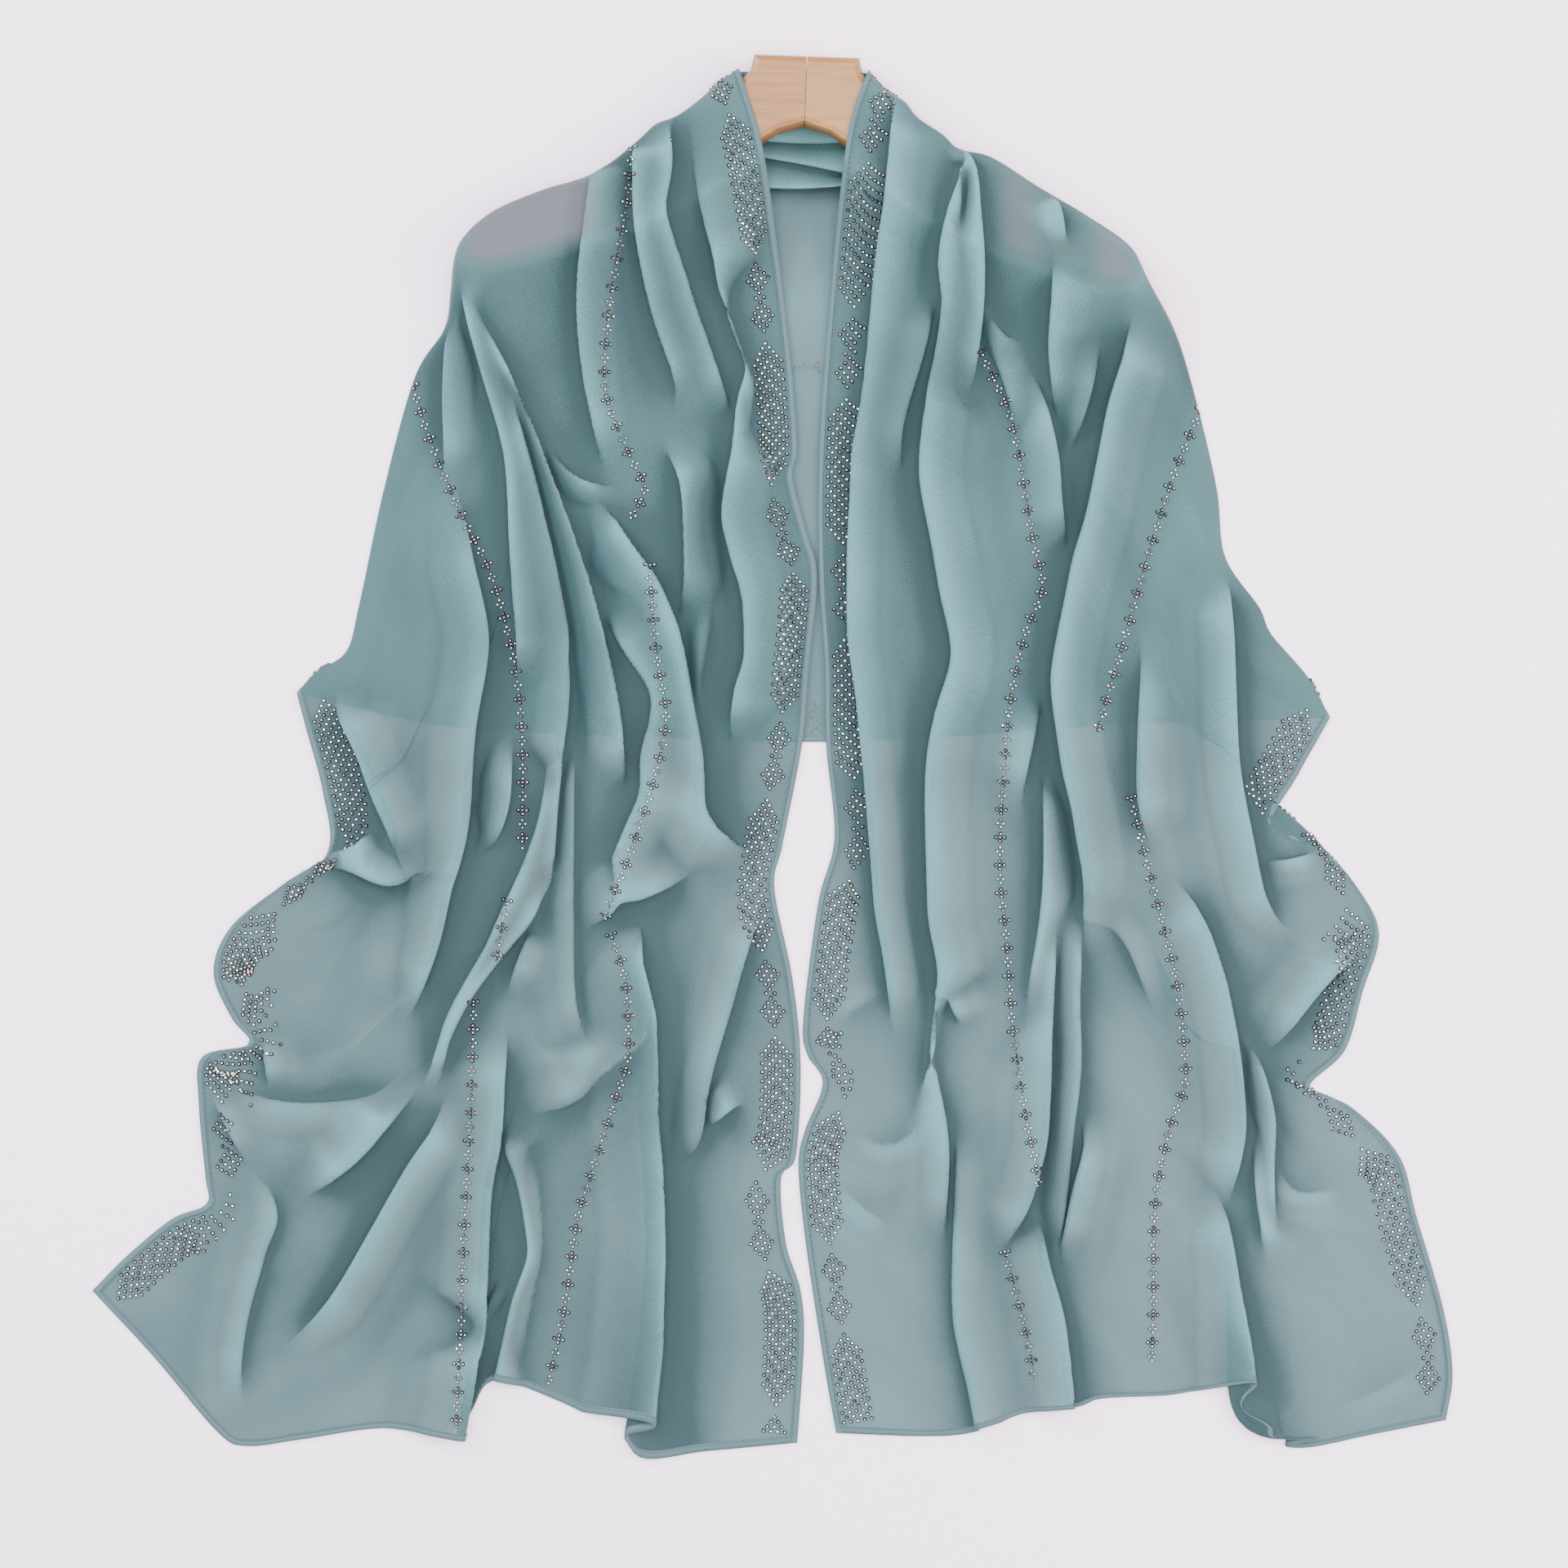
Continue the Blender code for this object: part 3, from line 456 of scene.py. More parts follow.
def roomBehind(index, folds, paths):
    # width of the top layer behind each point of a fold's edge, and the share of it the fold may use
    over, widths = folds[index][:2]
    path = paths[index]
    along, left = pathNormals(path)
    behind = -over * left
    room = np.full(len(path), folding["topLayer"] * alongFold(widths)[1].max())
    share = room.copy()
    for other, fold in enumerate(folds):
        line = paths[other][1:-1]
        if other == index or alongFold(fold[3])[1].max() < folding["lowLean"] or len(line) < 3:
            continue
        lineAlong, lineLeft = pathNormals(line)
        gap = line[None] - path[:, None]
        ahead = (gap * behind[:, None]).sum(axis=2)
        beside = np.abs((gap * along[:, None]).sum(axis=2))
        parallel = np.abs(along @ lineAlong.T) > folding["parallel"]
        counts = (ahead > folding["ahead"]) & (beside < folding["beside"]) & parallel
        facing = (behind @ (-fold[0] * lineLeft).T) < 0
        room = np.minimum(room, np.where(counts, ahead, 1e3).min(axis=1))
        part = ahead * np.where(facing, folding["facingShare"], folding["sameShare"])
        share = np.minimum(share, np.where(counts, part, 1e3).min(axis=1))
    for values in (room, share):
        for _ in range(folding["evened"]):
            wide = np.concatenate([values[:1], values, values[-1:]])
            values[:] = (wide[:-2] + 2 * values + wide[2:]) / 4
    return room, share


def foldShift(folds, x, y, strength):
    # how far the folds move each point and lift it, and the light and shade that they paint into the cloth's
    # colour
    shiftX, shiftY, rise, higher, tone = (np.zeros(x.shape) for _ in range(5))
    paths = [foldPath(fold[-1]) for fold in folds]
    for index, (over, widths, height, leans, fadeIn, fadeOut, _) in enumerate(folds):
        path, spans, leanings = paths[index], alongFold(widths), alongFold(leans)
        reach = (leanings[1].max() + folding["reach"]) * spans[1].max() + folding["margin"]
        near = ((x > path[:, 0].min() - reach) & (x < path[:, 0].max() + reach)
                & (y > path[:, 1].min() - reach) & (y < path[:, 1].max() + reach))
        if not near.any():
            continue
        distance, run, normalX, normalY = nearPath(path, x[near], y[near])
        steps = runAlong(path)
        length = steps[-1]
        full, lean = np.interp(run, *spans), np.interp(run, *leanings)
        room, share = (np.interp(run, steps, values) for values in roomBehind(index, folds, paths))
        spread = 1.0 + edgeOffset(lean, np.ones(lean.shape))
        halfWidth = np.clip(share / spread, folding["leastHalf"], full)
        fade = strength[near].copy()
        for width, fromEnd in ((fadeIn, run), (fadeOut, length - run)):
            if width:
                fade *= smoothStep(fromEnd / min(width, folding["fadeShare"] * length))
        leaning = lean * halfWidth * fade
        offset = edgeOffset(leaning, halfWidth)
        centre = over * distance + offset
        bump = hill(centre, halfWidth)
        shiftX[near] += over * leaning * bump * normalX
        shiftY[near] += over * leaning * bump * normalY
        behind = -over * distance
        dome = np.where((behind > 0) & (behind < room), np.sin(math.pi * behind / room) ** 2, 0.0)
        roundness = sum(part * hill(centre + setback * halfWidth, halfWidth)
                        for part, setback in folding["crests"])
        narrow = (halfWidth / full) ** folding["narrowing"]
        lift = height * fade * (roundness * narrow + folding["dome"] * dome)
        if height > 0:
            higher[near] += np.maximum(lift, 0.0) ** 3
        else:
            rise[near] += lift
        # painted light on the upper layer behind the edge, painted shade and a painted shadow line in front
        # of it
        seen = centre - offset + leaning * bump
        lit = (shading["crest"] * np.exp(-(seen / (shading["crestWidth"] * halfWidth)) ** 2)
               + shading["dome"] * dome + shading["rim"] * np.exp(-(seen / shading["rimWidth"]) ** 2))
        ahead = np.maximum(seen, 0.0)
        shaded = (shading["valley"] * np.exp(-ahead / (shading["valleyWidth"] * full))
                  + shading["contact"] * np.exp(-ahead / shading["contactWidth"]))
        shaded *= centre < shading["valleyEnd"] * full
        upper = centre < shading["upperLayer"] * halfWidth
        tone[near] += abs(height) / shading["fullRise"] * fade * np.where(upper, lit, -shaded)
    size = np.hypot(shiftX, shiftY)
    hold = folding["mostShift"] * np.tanh(size / folding["mostShift"]) / np.maximum(size, 1e-6)
    tone = np.clip(tone, shading["darkest"], shading["lightest"])
    return shiftX * hold, shiftY * hold, rise + np.cbrt(higher), tone


def coonsPatch(edges, size):
    # points between four edges, top, inner, outer and hem, closer together near the top
    u, v = np.meshgrid(np.linspace(0, 1, size["fineAcross"]),
                       np.linspace(0, 1, size["fineDown"]) ** cloth["closer"])

    def along(path, t):
        index = np.arange(len(path))
        t = t * (len(path) - 1)
        return np.interp(t, index, path[:, 0]), np.interp(t, index, path[:, 1])
    top, inner, outer, hemEdge = edges
    result = []
    for axis in (0, 1):
        across = (1 - v) * along(top, u)[axis] + v * along(hemEdge, u)[axis]
        down = (1 - u) * along(inner, v)[axis] + u * along(outer, v)[axis]
        both = ((1 - u) * (1 - v) * top[0][axis] + u * (1 - v) * top[-1][axis]
                + (1 - u) * v * hemEdge[0][axis] + u * v * hemEdge[-1][axis])
        result.append(across + down - both)
    return result + [v]


def evenRows(grid, count):
    # the same rows with their points evenly spaced along them
    rows = np.empty((len(grid), count, grid.shape[2]))
    for index, line in enumerate(grid):
        run = runAlong(line[:, :3])
        where = np.linspace(0.0, run[-1], count)
        for axis in range(grid.shape[2]):
            rows[index, :, axis] = np.interp(where, run, line[:, axis])
    return rows


def evenGrid(layers, across, down):
    # the last layer is the painted light and shade, the others are the place
    grid = evenRows(np.stack(layers, axis=-1), across)
    grid = evenRows(grid.transpose(1, 0, 2), down).transpose(1, 0, 2)
    return grid[:, :, :3].copy(), grid[:, :, 3]


def runLengths(grid):
    # distance across and down the cloth at each point, in millimetres
    across = np.linalg.norm(np.diff(grid, axis=1), axis=2)
    down = np.linalg.norm(np.diff(grid, axis=0), axis=2)
    across = np.concatenate([np.zeros((len(grid), 1)), np.cumsum(across, axis=1)], axis=1)
    down = np.concatenate([np.zeros((1, grid.shape[1])), np.cumsum(down, axis=0)], axis=0)
    return across, down


def ripples(across, down, seed):
    values = np.zeros(across.shape)
    for kind in ("ripple", "crinkle"):
        size, stretch = cloth[kind + "Size"], cloth[kind + "Stretch"]
        for (i, j), run in np.ndenumerate(across):
            spot = Vector((run / size, down[i, j] / (stretch * size), seed))
            values[i, j] += cloth[kind] * noise.noise(spot)
    return values


def meanAround(grid, values, spread, cell=2.0, halfSpan=(440.0, 450.0)):
    # mean of what shows from above in the cloth around each point
    columns, rows = (((grid[:, :, axis] + halfSpan[axis]) / cell).astype(int) for axis in (0, 1))
    top = np.full([int(2 * span / cell) for span in halfSpan[::-1]], -1.0)
    np.maximum.at(top, (rows, columns), values)
    known = (top > -1.0).astype(float)
    window = np.exp(-0.5 * (np.arange(-3 * spread, 3 * spread + 1) / (0.6 * spread)) ** 2)
    blurred = []
    for layer in (top * known, known):
        for axis in (0, 1):
            layer = np.apply_along_axis(np.convolve, axis, layer, window, mode="same")
        blurred.append(layer)
    return (blurred[0] / np.maximum(blurred[1], 1e-6))[rows, columns]


def frontGrid(front, folds, backHem, seed):
    edges = [smoothPath(front[key]) for key in ("top", "inner", "outer", "hem")]
    x, y, v = coonsPatch(edges, cloth)
    fromTurn = np.full(x.shape, 1e3)
    upper = v < cloth["turnPart"]
    fromTurn[upper] = np.abs(nearPath(edges[0], x[upper], y[upper])[0])
    shiftX, shiftY, rise, tone = foldShift(folds, x, y, smoothStep(fromTurn / cloth["turnFade"]))
    x, y = x + shiftX, y + shiftY
    turn = np.sqrt(1.0 - (1.0 - np.clip(fromTurn / cloth["turnReach"], 0.0, 1.0)) ** 2)
    height = rest["onSurface"] + (baseHeight(x, y, backHem) + rise - rest["onSurface"]) * turn
    grid, tone = evenGrid([x, y, height, tone], cloth["across"], cloth["down"])
    across, down = runLengths(grid)
    grid[:, :, 2] += (ripples(across, down, seed) + cloth["loft"]) * smoothStep(down / cloth["looseFrom"])
    height = np.maximum(grid[:, :, 2], cloth["lowest"])
    grid[:, :, 2] = height
    # painted shade in the hollows and painted light on the ridges; darker still where folds crowd, for the
    # extra layers and as painted shade
    around = meanAround(grid, height, shading["hollowSpread"])
    hollow = np.clip((height - around) / shading["hollowDepth"], -1.0, 1.0)
    gathered = np.minimum(meanAround(grid, np.abs(tone), shading["gatherSpread"]), shading["gatherMost"])
    tone = tone + hollow * shading["hollowTone"] - gathered * shading["gatherTone"]
    # the left front is painted a little darker all over, as shade
    return grid, tone - front["depth"]


back = {
    "fineAcross": 420,
    "fineDown": 900,
    "across": 190,
    "down": 260,
    "bundle": 335.0,       # the cloth is rolled together above this line
    "bundleFade": 8.0,
    "opening": (-40.0, 75.0),  # from x, to x, where it shows between the fronts
    "openingFade": 20.0,
}


def backGrid(left, right):
    near, far = smoothPath(left["top"]), smoothPath(right["top"])
    edges = [smoothPath([near[0], far[0]]), near, far,
             smoothPath([near[-1]] + backHemLine[1:-1] + [far[-1]])]
    x, y, _ = coonsPatch(edges, back)
    within = smoothStep((y - back["bundle"]) / back["bundleFade"])
    # the back's folds paint light and shade into its colour too
    shiftX, shiftY, rise, tone = foldShift(backFolds, x, y, within)
    shown = between(x, *back["opening"], back["openingFade"])
    return evenGrid([x + shiftX * shown, y + shiftY * shown, rest["onSurface"] + rise * shown,
                     tone * shown], back["across"], back["down"])


def gridNormals(grid):
    normals = unit(np.cross(np.gradient(grid, axis=0), np.gradient(grid, axis=1)))
    return normals if normals[:, :, 2].mean() > 0 else -normals


def newPiece(name, mesh, material, **attributes):
    # attributes hold one value for each point of the mesh
    for label, values in attributes.items():
        row = np.array(values, dtype=np.float32)
        mesh.attributes.new(label, "FLOAT", "POINT").data.foreach_set("value", row)
    mesh.materials.append(material)
    piece = bpy.data.objects.new(name, mesh)
    bpy.context.scene.collection.objects.link(piece)
    return piece


def gridObject(name, grid, material, closed=False, **maps):
    # a sheet from a grid whose points are placed one by one; closed joins its last column to the first
    rows, columns = grid.shape[:2]
    sheet = bmesh.new()
    bmesh.ops.create_grid(sheet, x_segments=columns - 1, y_segments=rows - 1, size=0.5)
    places = (grid + toMiddle) * mm
    across, down = runLengths(grid)
    wrap = sheet.loops.layers.uv.new("clothRun")
    where = {vertex: (round((vertex.co.y + 0.5) * (rows - 1)), round((vertex.co.x + 0.5) * (columns - 1)))
             for vertex in sheet.verts}
    for vertex, spot in where.items():
        vertex.co = places[spot]
    for face in sheet.faces:
        for loop in face.loops:
            spot = where[loop.vert]
            loop[wrap].uv = (across[spot] * mm, down[spot] * mm)
    if closed:
        bmesh.ops.remove_doubles(sheet, verts=sheet.verts, dist=1e-6)
        bmesh.ops.recalc_face_normals(sheet, faces=sheet.faces)
    elif sum(face.normal.z for face in sheet.faces) < 0:
        bmesh.ops.reverse_faces(sheet, faces=sheet.faces)
    mesh = bpy.data.meshes.new(name)
    sheet.to_mesh(mesh)
    sheet.free()
    mesh.shade_smooth()
    attributes = {label: [values[spot] for spot in where.values()] for label, values in maps.items()}
    return newPiece(name, mesh, material, **attributes)


# Materials
def addNode(material, kind, inputs=None, **settings):
    tree = material.node_tree
    node = tree.nodes.new(kind)
    for name, value in settings.items():
        setattr(node, name, value)
    for key, value in (inputs or {}).items():
        if isinstance(value, bpy.types.NodeSocket):
            tree.links.new(value, node.inputs[key])
        else:
            node.inputs[key].default_value = value
    return node


def newMaterial(name, **values):
    material = bpy.data.materials.new(name)
    material.use_nodes = True
    shader = material.node_tree.nodes["Principled BSDF"]
    for key, value in values.items():
        shader.inputs[key].default_value = value
    return material, shader


def finish(material, shader, **outputs):
    # links each output to the shader's socket of that name
    for key, output in outputs.items():
        material.node_tree.links.new(output, shader.inputs[key.replace("_", " ")])


chiffonLook = {
    "paintedRidgeLight": "#517b81",       # painted light on lit crests
    "flat": "#3d5b5e",        # the dyed cloth where it lies smooth
    "valley": "#22393d",      # painted shade deep between two folds
    "overWood": "#51545b",    # one layer with the wood close under it
    "sheer": 0.83,            # how much of the surface the threads cover
    "gathered": 0.95,
    "overWoodCover": 0.12,    # more of it where the wood is close
    "crepeGrain": 1.1,        # mm, drawn a little coarser than the real twisted thread
    "pebble": 0.15,           # how far the grain changes the tone, and the cover
    "pebbleCover": 0.05,
    "cloud": 9.0,             # patches a metre, and how far they change the tone
    "cloudTone": (-0.16, 0.2),
    "paintedLightAt": 0.7,             # painted light and painted shade reach full strength at these values
    "paintedShadeAt": -0.85,
}


def chiffonMaterial():
    # polyester crepe chiffon: sheer, matt, with a fine pebbled grain
    look = chiffonLook
    material, shader = newMaterial("crepeChiffon", **{"Roughness": 0.72, "Sheen Weight": 0.12,
                                                      "Sheen Roughness": 0.4, "IOR": 1.45,
                                                      "Specular IOR Level": 0.25})
    run = addNode(material, "ShaderNodeUVMap", uv_map="clothRun").outputs["UV"]
    # the cloth's painted light and shade are read from an attribute
    layers, tone, wood = (addNode(material, "ShaderNodeAttribute", attribute_name=name).outputs["Fac"]
                          for name in ("layers", "tone", "overWood"))
    grain = addNode(material, "ShaderNodeTexNoise", {"Vector": run, "Scale": 1000 / look["crepeGrain"],
                                                     "Detail": 2.0, "Roughness": 0.6}).outputs["Fac"]
    cloud = addNode(material, "ShaderNodeTexNoise", {"Vector": run, "Scale": look["cloud"],
                                                     "Detail": 2.0}).outputs["Fac"]
    uneven, pebble, speck = (
        addNode(material, "ShaderNodeMapRange", {"Value": value, "From Min": 0.3, "From Max": 0.7,
                                                 "To Min": low, "To Max": high}).outputs[0]
        for value, low, high in ((cloud, *look["cloudTone"]), (grain, -look["pebble"], look["pebble"]),
                                 (grain, -look["pebbleCover"], look["pebbleCover"])))
    mottled = addNode(material, "ShaderNodeMath", {0: pebble, 1: uneven}, operation="ADD")
    # painted light and shade, plus the dye's random mottling
    shade = addNode(material, "ShaderNodeMath", {0: tone, 1: mottled.outputs[0]}, operation="ADD")
    # mixed towards a painted light colour on crests and a painted shade colour in valleys
    up, down = (
        addNode(material, "ShaderNodeMapRange", {"Value": shade.outputs[0], "From Max": end}).outputs[0]
        for end in (look["paintedLightAt"], look["paintedShadeAt"]))
    colour = hexColour(look["flat"])
    for factor, code in ((up, "paintedRidgeLight"), (down, "valley"), (wood, "overWood")):
        colour = addNode(material, "ShaderNodeMix", {"Factor": factor, 6: colour,
                                                     7: hexColour(look[code])}, data_type="RGBA").outputs[2]
    # the cloth covers more where light or shade is painted
    crest = addNode(material, "ShaderNodeMath", {0: up, 1: 0.7}, operation="MULTIPLY")
    either = addNode(material, "ShaderNodeMath", {0: down, 1: crest.outputs[0]}, operation="MAXIMUM")
    thick = addNode(material, "ShaderNodeMath", {0: either.outputs[0], 1: layers},
                    operation="MAXIMUM", use_clamp=True)
    cover = addNode(material, "ShaderNodeMapRange", {"Value": thick.outputs[0], "To Min": look["sheer"],
                                                     "To Max": look["gathered"]})
    thin = addNode(material, "ShaderNodeMath", {0: wood, 1: look["overWoodCover"], 2: speck},
                   operation="MULTIPLY_ADD")
    alpha = addNode(material, "ShaderNodeMath", {0: cover.outputs[0], 1: thin.outputs[0]},
                    operation="ADD", use_clamp=True)
    bump = addNode(material, "ShaderNodeBump", {"Height": grain, "Strength": 0.35, "Distance": 0.0003})
    finish(material, shader, Base_Color=colour, Alpha=alpha.outputs[0], Normal=bump.outputs["Normal"])
    return material


hemLook = {"dark": "#395156", "light": "#46626a", "grain": 10 / 9}    # grain in mm
threadLook = {"dark": "#22383b", "light": "#34525a", "grain": 0.4}
glassLook = {  # name, painted shade on the rim, two shades of the table that is painted light as a highlight, height at which the painted rim shade ends
    "dark": ("hematiteRhinestone", "#120d12", "#5a4c56", "#a3949d", 0.72),
    "mauve": ("mauveRhinestone", "#1b151a", "#7e6e78", "#b5a7af", 0.66),
    "clear": ("crystalRhinestone", "#2b2329", "#d6ccd2", "#dcdfd5", 0.5),
}
beechLook = {
    "boards": {  # turn of the grain in degrees, and its two shades
        "hanger_left": ("beechLeft", 28, "#87582a", "#744a1e"),
        "hanger_right": ("beechRight", -30, "#8f6433", "#7b5226"),
    },
    "fleck": "#5a3a20",
    # how many go to the metre along, across and through the board
    "grainScale": (22.0, 260.0, 120.0),      # streaks 45 mm long and 4 mm wide
    "fleckScale": (160.0, 1500.0, 900.0),    # flecks 6 mm long and 0.7 mm wide
}


def twoShades(material, shader, place, look):
    # two shades of one dye, mixed by a fine grain
    grain = addNode(material, "ShaderNodeTexNoise",
                    {"Vector": place, "Scale": 1000 / look["grain"], "Detail": 2.0}).outputs["Fac"]
    tint = addNode(material, "ShaderNodeMix", {"Factor": grain, 6: hexColour(look["dark"]),
                                               7: hexColour(look["light"])}, data_type="RGBA")
    finish(material, shader, Base_Color=tint.outputs[2])
    return grain


def hemMaterial():
    # the same chiffon rolled double, so it looks denser and a little darker
    material, shader = newMaterial("rolledChiffon", **{"Roughness": 0.7, "Alpha": 0.84,
                                                       "Sheen Weight": 0.1})
    run = addNode(material, "ShaderNodeUVMap", uv_map="clothRun")
    grain = twoShades(material, shader, run.outputs["UV"], hemLook)
    bump = addNode(material, "ShaderNodeBump", {"Height": grain, "Strength": 0.3, "Distance": 0.0003})
    finish(material, shader, Normal=bump.outputs["Normal"])
    return material


def threadMaterial():
    # spun polyester sewing thread, a shade darker than the cloth
    material, shader = newMaterial("sewingThread", Roughness=0.6)
    place = addNode(material, "ShaderNodeTexCoord")
    twoShades(material, shader, place.outputs["Object"], threadLook)
    return material


def stoneMaterial(name, rim, first, second, rimShadeEnd):
    # cut glass backed with foil, each a little different; shade is painted dark round the girdle and a
    # highlight painted bright on the table
    material, shader = newMaterial(name, **{"Metallic": 0.8, "Roughness": 0.2,
                                            "Coat Weight": 0.6, "Coat Roughness": 0.05})
    vary, table = (addNode(material, "ShaderNodeAttribute", attribute_name=label).outputs["Fac"]
                   for label in ("tint", "table"))
    tint = addNode(material, "ShaderNodeMix", {"Factor": vary, 6: hexColour(first),
                                               7: hexColour(second)}, data_type="RGBA")
    # painted shade on the rim, painted highlight on the table
    tableHighlight = addNode(material, "ShaderNodeMapRange", {"Value": table, "From Min": rimShadeEnd})
    paintedFacets = addNode(material, "ShaderNodeMix", {"Factor": tableHighlight.outputs[0], 6: hexColour(rim),
                                                 7: tint.outputs[2]}, data_type="RGBA")
    finish(material, shader, Base_Color=paintedFacets.outputs[2])
    return material


def beechMaterial(name, turn, light, dark):
    # steamed beech under a satin lacquer: close grain with short dark flecks
    material, shader = newMaterial(name, **{"Roughness": 0.45, "Coat Weight": 0.15,
                                            "Coat Roughness": 0.3})
    place = addNode(material, "ShaderNodeTexCoord").outputs["Object"]
    board, fleckBoard = (
        addNode(material, "ShaderNodeMapping", {"Vector": place, "Rotation": (0.0, 0.0, math.radians(turn)),
                                                "Scale": beechLook[scale]}).outputs[0]
        for scale in ("grainScale", "fleckScale"))
    grain = addNode(material, "ShaderNodeTexNoise", {"Vector": board, "Scale": 1.0, "Detail": 4.0,
                                                     "Distortion": 0.4}).outputs["Fac"]
    fleck = addNode(material, "ShaderNodeTexNoise", {"Vector": fleckBoard, "Scale": 1.0,
                                                     "Detail": 1.0}).outputs["Fac"]
    ramp = addNode(material, "ShaderNodeMapRange", {"Value": grain, "From Min": 0.35, "From Max": 0.68})
    tint = addNode(material, "ShaderNodeMix", {"Factor": ramp.outputs[0], 6: hexColour(light),
                                               7: hexColour(dark)}, data_type="RGBA")
    dots = addNode(material, "ShaderNodeMapRange", {"Value": fleck, "From Min": 0.62, "From Max": 0.75,
                                                    "To Max": 0.35})
    specks = addNode(material, "ShaderNodeMix", {"Factor": dots.outputs[0], 6: tint.outputs[2],
                                                 7: hexColour(beechLook["fleck"])}, data_type="RGBA")
    bump = addNode(material, "ShaderNodeBump", {"Height": grain, "Strength": 0.12, "Distance": 0.0004})
    finish(material, shader, Base_Color=specks.outputs[2], Normal=bump.outputs["Normal"])
    return material


chiffon, rolled, thread = chiffonMaterial(), hemMaterial(), threadMaterial()
glass = {kind: stoneMaterial(*look) for kind, look in glassLook.items()}

# Cloth pieces
backHem = smoothPath(backHemLine)
shoulder = {
    "spread": 26.0,        # the gathered layers fade out over this width
    "gatherEnd": 190.0,    # they have fallen open at this line, over this height
    "gatherFade": 130.0,
    "backLine": 340.0,     # above this line the back is rolled together
    "backFade": 8.0,
    "backThin": 0.2,
    "lowest": 180.0,       # no arm shows below this line
    "drop": 12.0,          # the tint reaches this far below the wood
    "core": 8.0,
    "edge": 16.0,          # width of its soft edge
    "hide": 1.6,           # how fast more layers hide the wood
    "shade": 0.1,          # painted shadow of the arm on the cloth below it, and how far it reaches
    "shadeReach": 30.0,
    "shadeTop": 330.0,
    "shadeFade": 20.0,
}


def layerMap(grid, front):
    # 1 where the cloth is gathered over the arms, 0 where one sheer layer lies
    x, y = grid[:, :, 0], grid[:, :, 1]
    low = smoothStep((y - shoulder["gatherEnd"]) / shoulder["gatherFade"])
    return between(x, *front["gathered"], shoulder["spread"]) * low


def woodShowing(grid, tone, layers, front):
    # where a single layer lies on the wood it shows through; just below the arm a painted shadow of the arm
    # darkens the cloth
    x, y = grid[:, :, 0], grid[:, :, 1]
    distance = np.full(x.shape, 200.0)
    inside = np.zeros(x.shape, dtype=bool)
    near = y > shoulder["lowest"]
    distance[near], inside[near] = fromHanger(x[near], y[near])
    inside[near] |= insideOutline(hangerOutline(), x[near], y[near] - shoulder["drop"])
    signed = np.where(inside, np.maximum(distance, shoulder["core"]), -distance)
    single = 1.0 - np.clip(layers * shoulder["hide"], 0.0, 1.0)
    edge = shoulder["edge"]
    bare = np.zeros(x.shape)
    for start, end, strength in front["bareArm"]:
        bare = np.maximum(bare, strength * between(x, start, end, edge, 0.5))
    # painted shadow of the arm, fading with distance and further down
    shade = np.where(inside, 0.0, np.exp(-distance / shoulder["shadeReach"]))
    shade *= smoothStep((shoulder["shadeTop"] - y) / shoulder["shadeFade"])
    showing = smoothStep((signed + shoulder["drop"]) / edge) * single * bare
    return showing, tone - shoulder["shade"] * shade * single


def layFront(name, front, folds, seed):
    grid, tone = frontGrid(front, folds, backHem, seed)
    layers = layerMap(grid, front)
    wood, tone = woodShowing(grid, tone, layers, front)
    return grid, gridObject(name, grid, chiffon, layers=layers, tone=tone, overWood=wood)


leftGrid, scarfLeft = layFront("scarfFrontLeft", leftFront, leftFolds, 1.7)
rightGrid, scarfRight = layFront("scarfFrontRight", rightFront, rightFolds, 8.3)
middleGrid, middlePaintedShading = backGrid(leftFront, rightFront)
rolledUp = smoothStep((middleGrid[:, :, 1] - shoulder["backLine"]) / shoulder["backFade"])
middleThick = shoulder["backThin"] + (1.0 - shoulder["backThin"]) * rolledUp
scarfBack = gridObject("scarfBack", middleGrid, chiffon, layers=middleThick, tone=middlePaintedShading)
print("cloth laid out:", len(scarfLeft.data.vertices), "points in the left front")

# Rolled hems
hem = {
    "over": 0.22,          # how far the roll stands over the cloth, under it and past its edge
    "under": 0.15,
    "out": 0.2,
    "crown": 0.12,         # how much its middle is fuller, and how round its outer side is
    "roundOver": 0.7,
    "roundUnder": 0.6,
}


def fromSide(grid, side):
    # the grid turned so that its first column is the named edge
    if side == "outer":
        return grid[:, ::-1]
    return grid if side == "inner" else grid[::-1].transpose(1, 0, 2)


def hemStrip(name, grid, sides):
    # a flat roll along each edge; three lines of points run along it
    up, down, crown = hem["over"], hem["under"], hem["crown"]
    pieces = []
    for side in sides:
        lines, normals = fromSide(grid, side), fromSide(gridNormals(grid), side)
        (p0, n0), (p1, n1), (p2, n2) = ((lines[:, k], normals[:, k]) for k in range(3))
        out = unit(p0 - p1) * hem["out"]
        ring = [p2 + n2 * crown, p2 + n2 * up, p1 + n1 * (up + crown),
                p0 + n0 * up * hem["roundOver"] + out, p0 - n0 * down * hem["roundUnder"] + out,
                p1 - n1 * down, p2 - n2 * crown, p2 + n2 * crown]
        tube = np.stack(ring, axis=1)
        pieces.append(gridObject(name + side.capitalize(), tube, rolled, closed=True))
    return pieces


leftHems = hemStrip("hemLeft", leftGrid, ["inner", "outer", "end"])
rightHems = hemStrip("hemRight", rightGrid, ["inner", "outer", "end"])
backHems = hemStrip("hemBack", middleGrid, ["end"])
print("hems rolled")


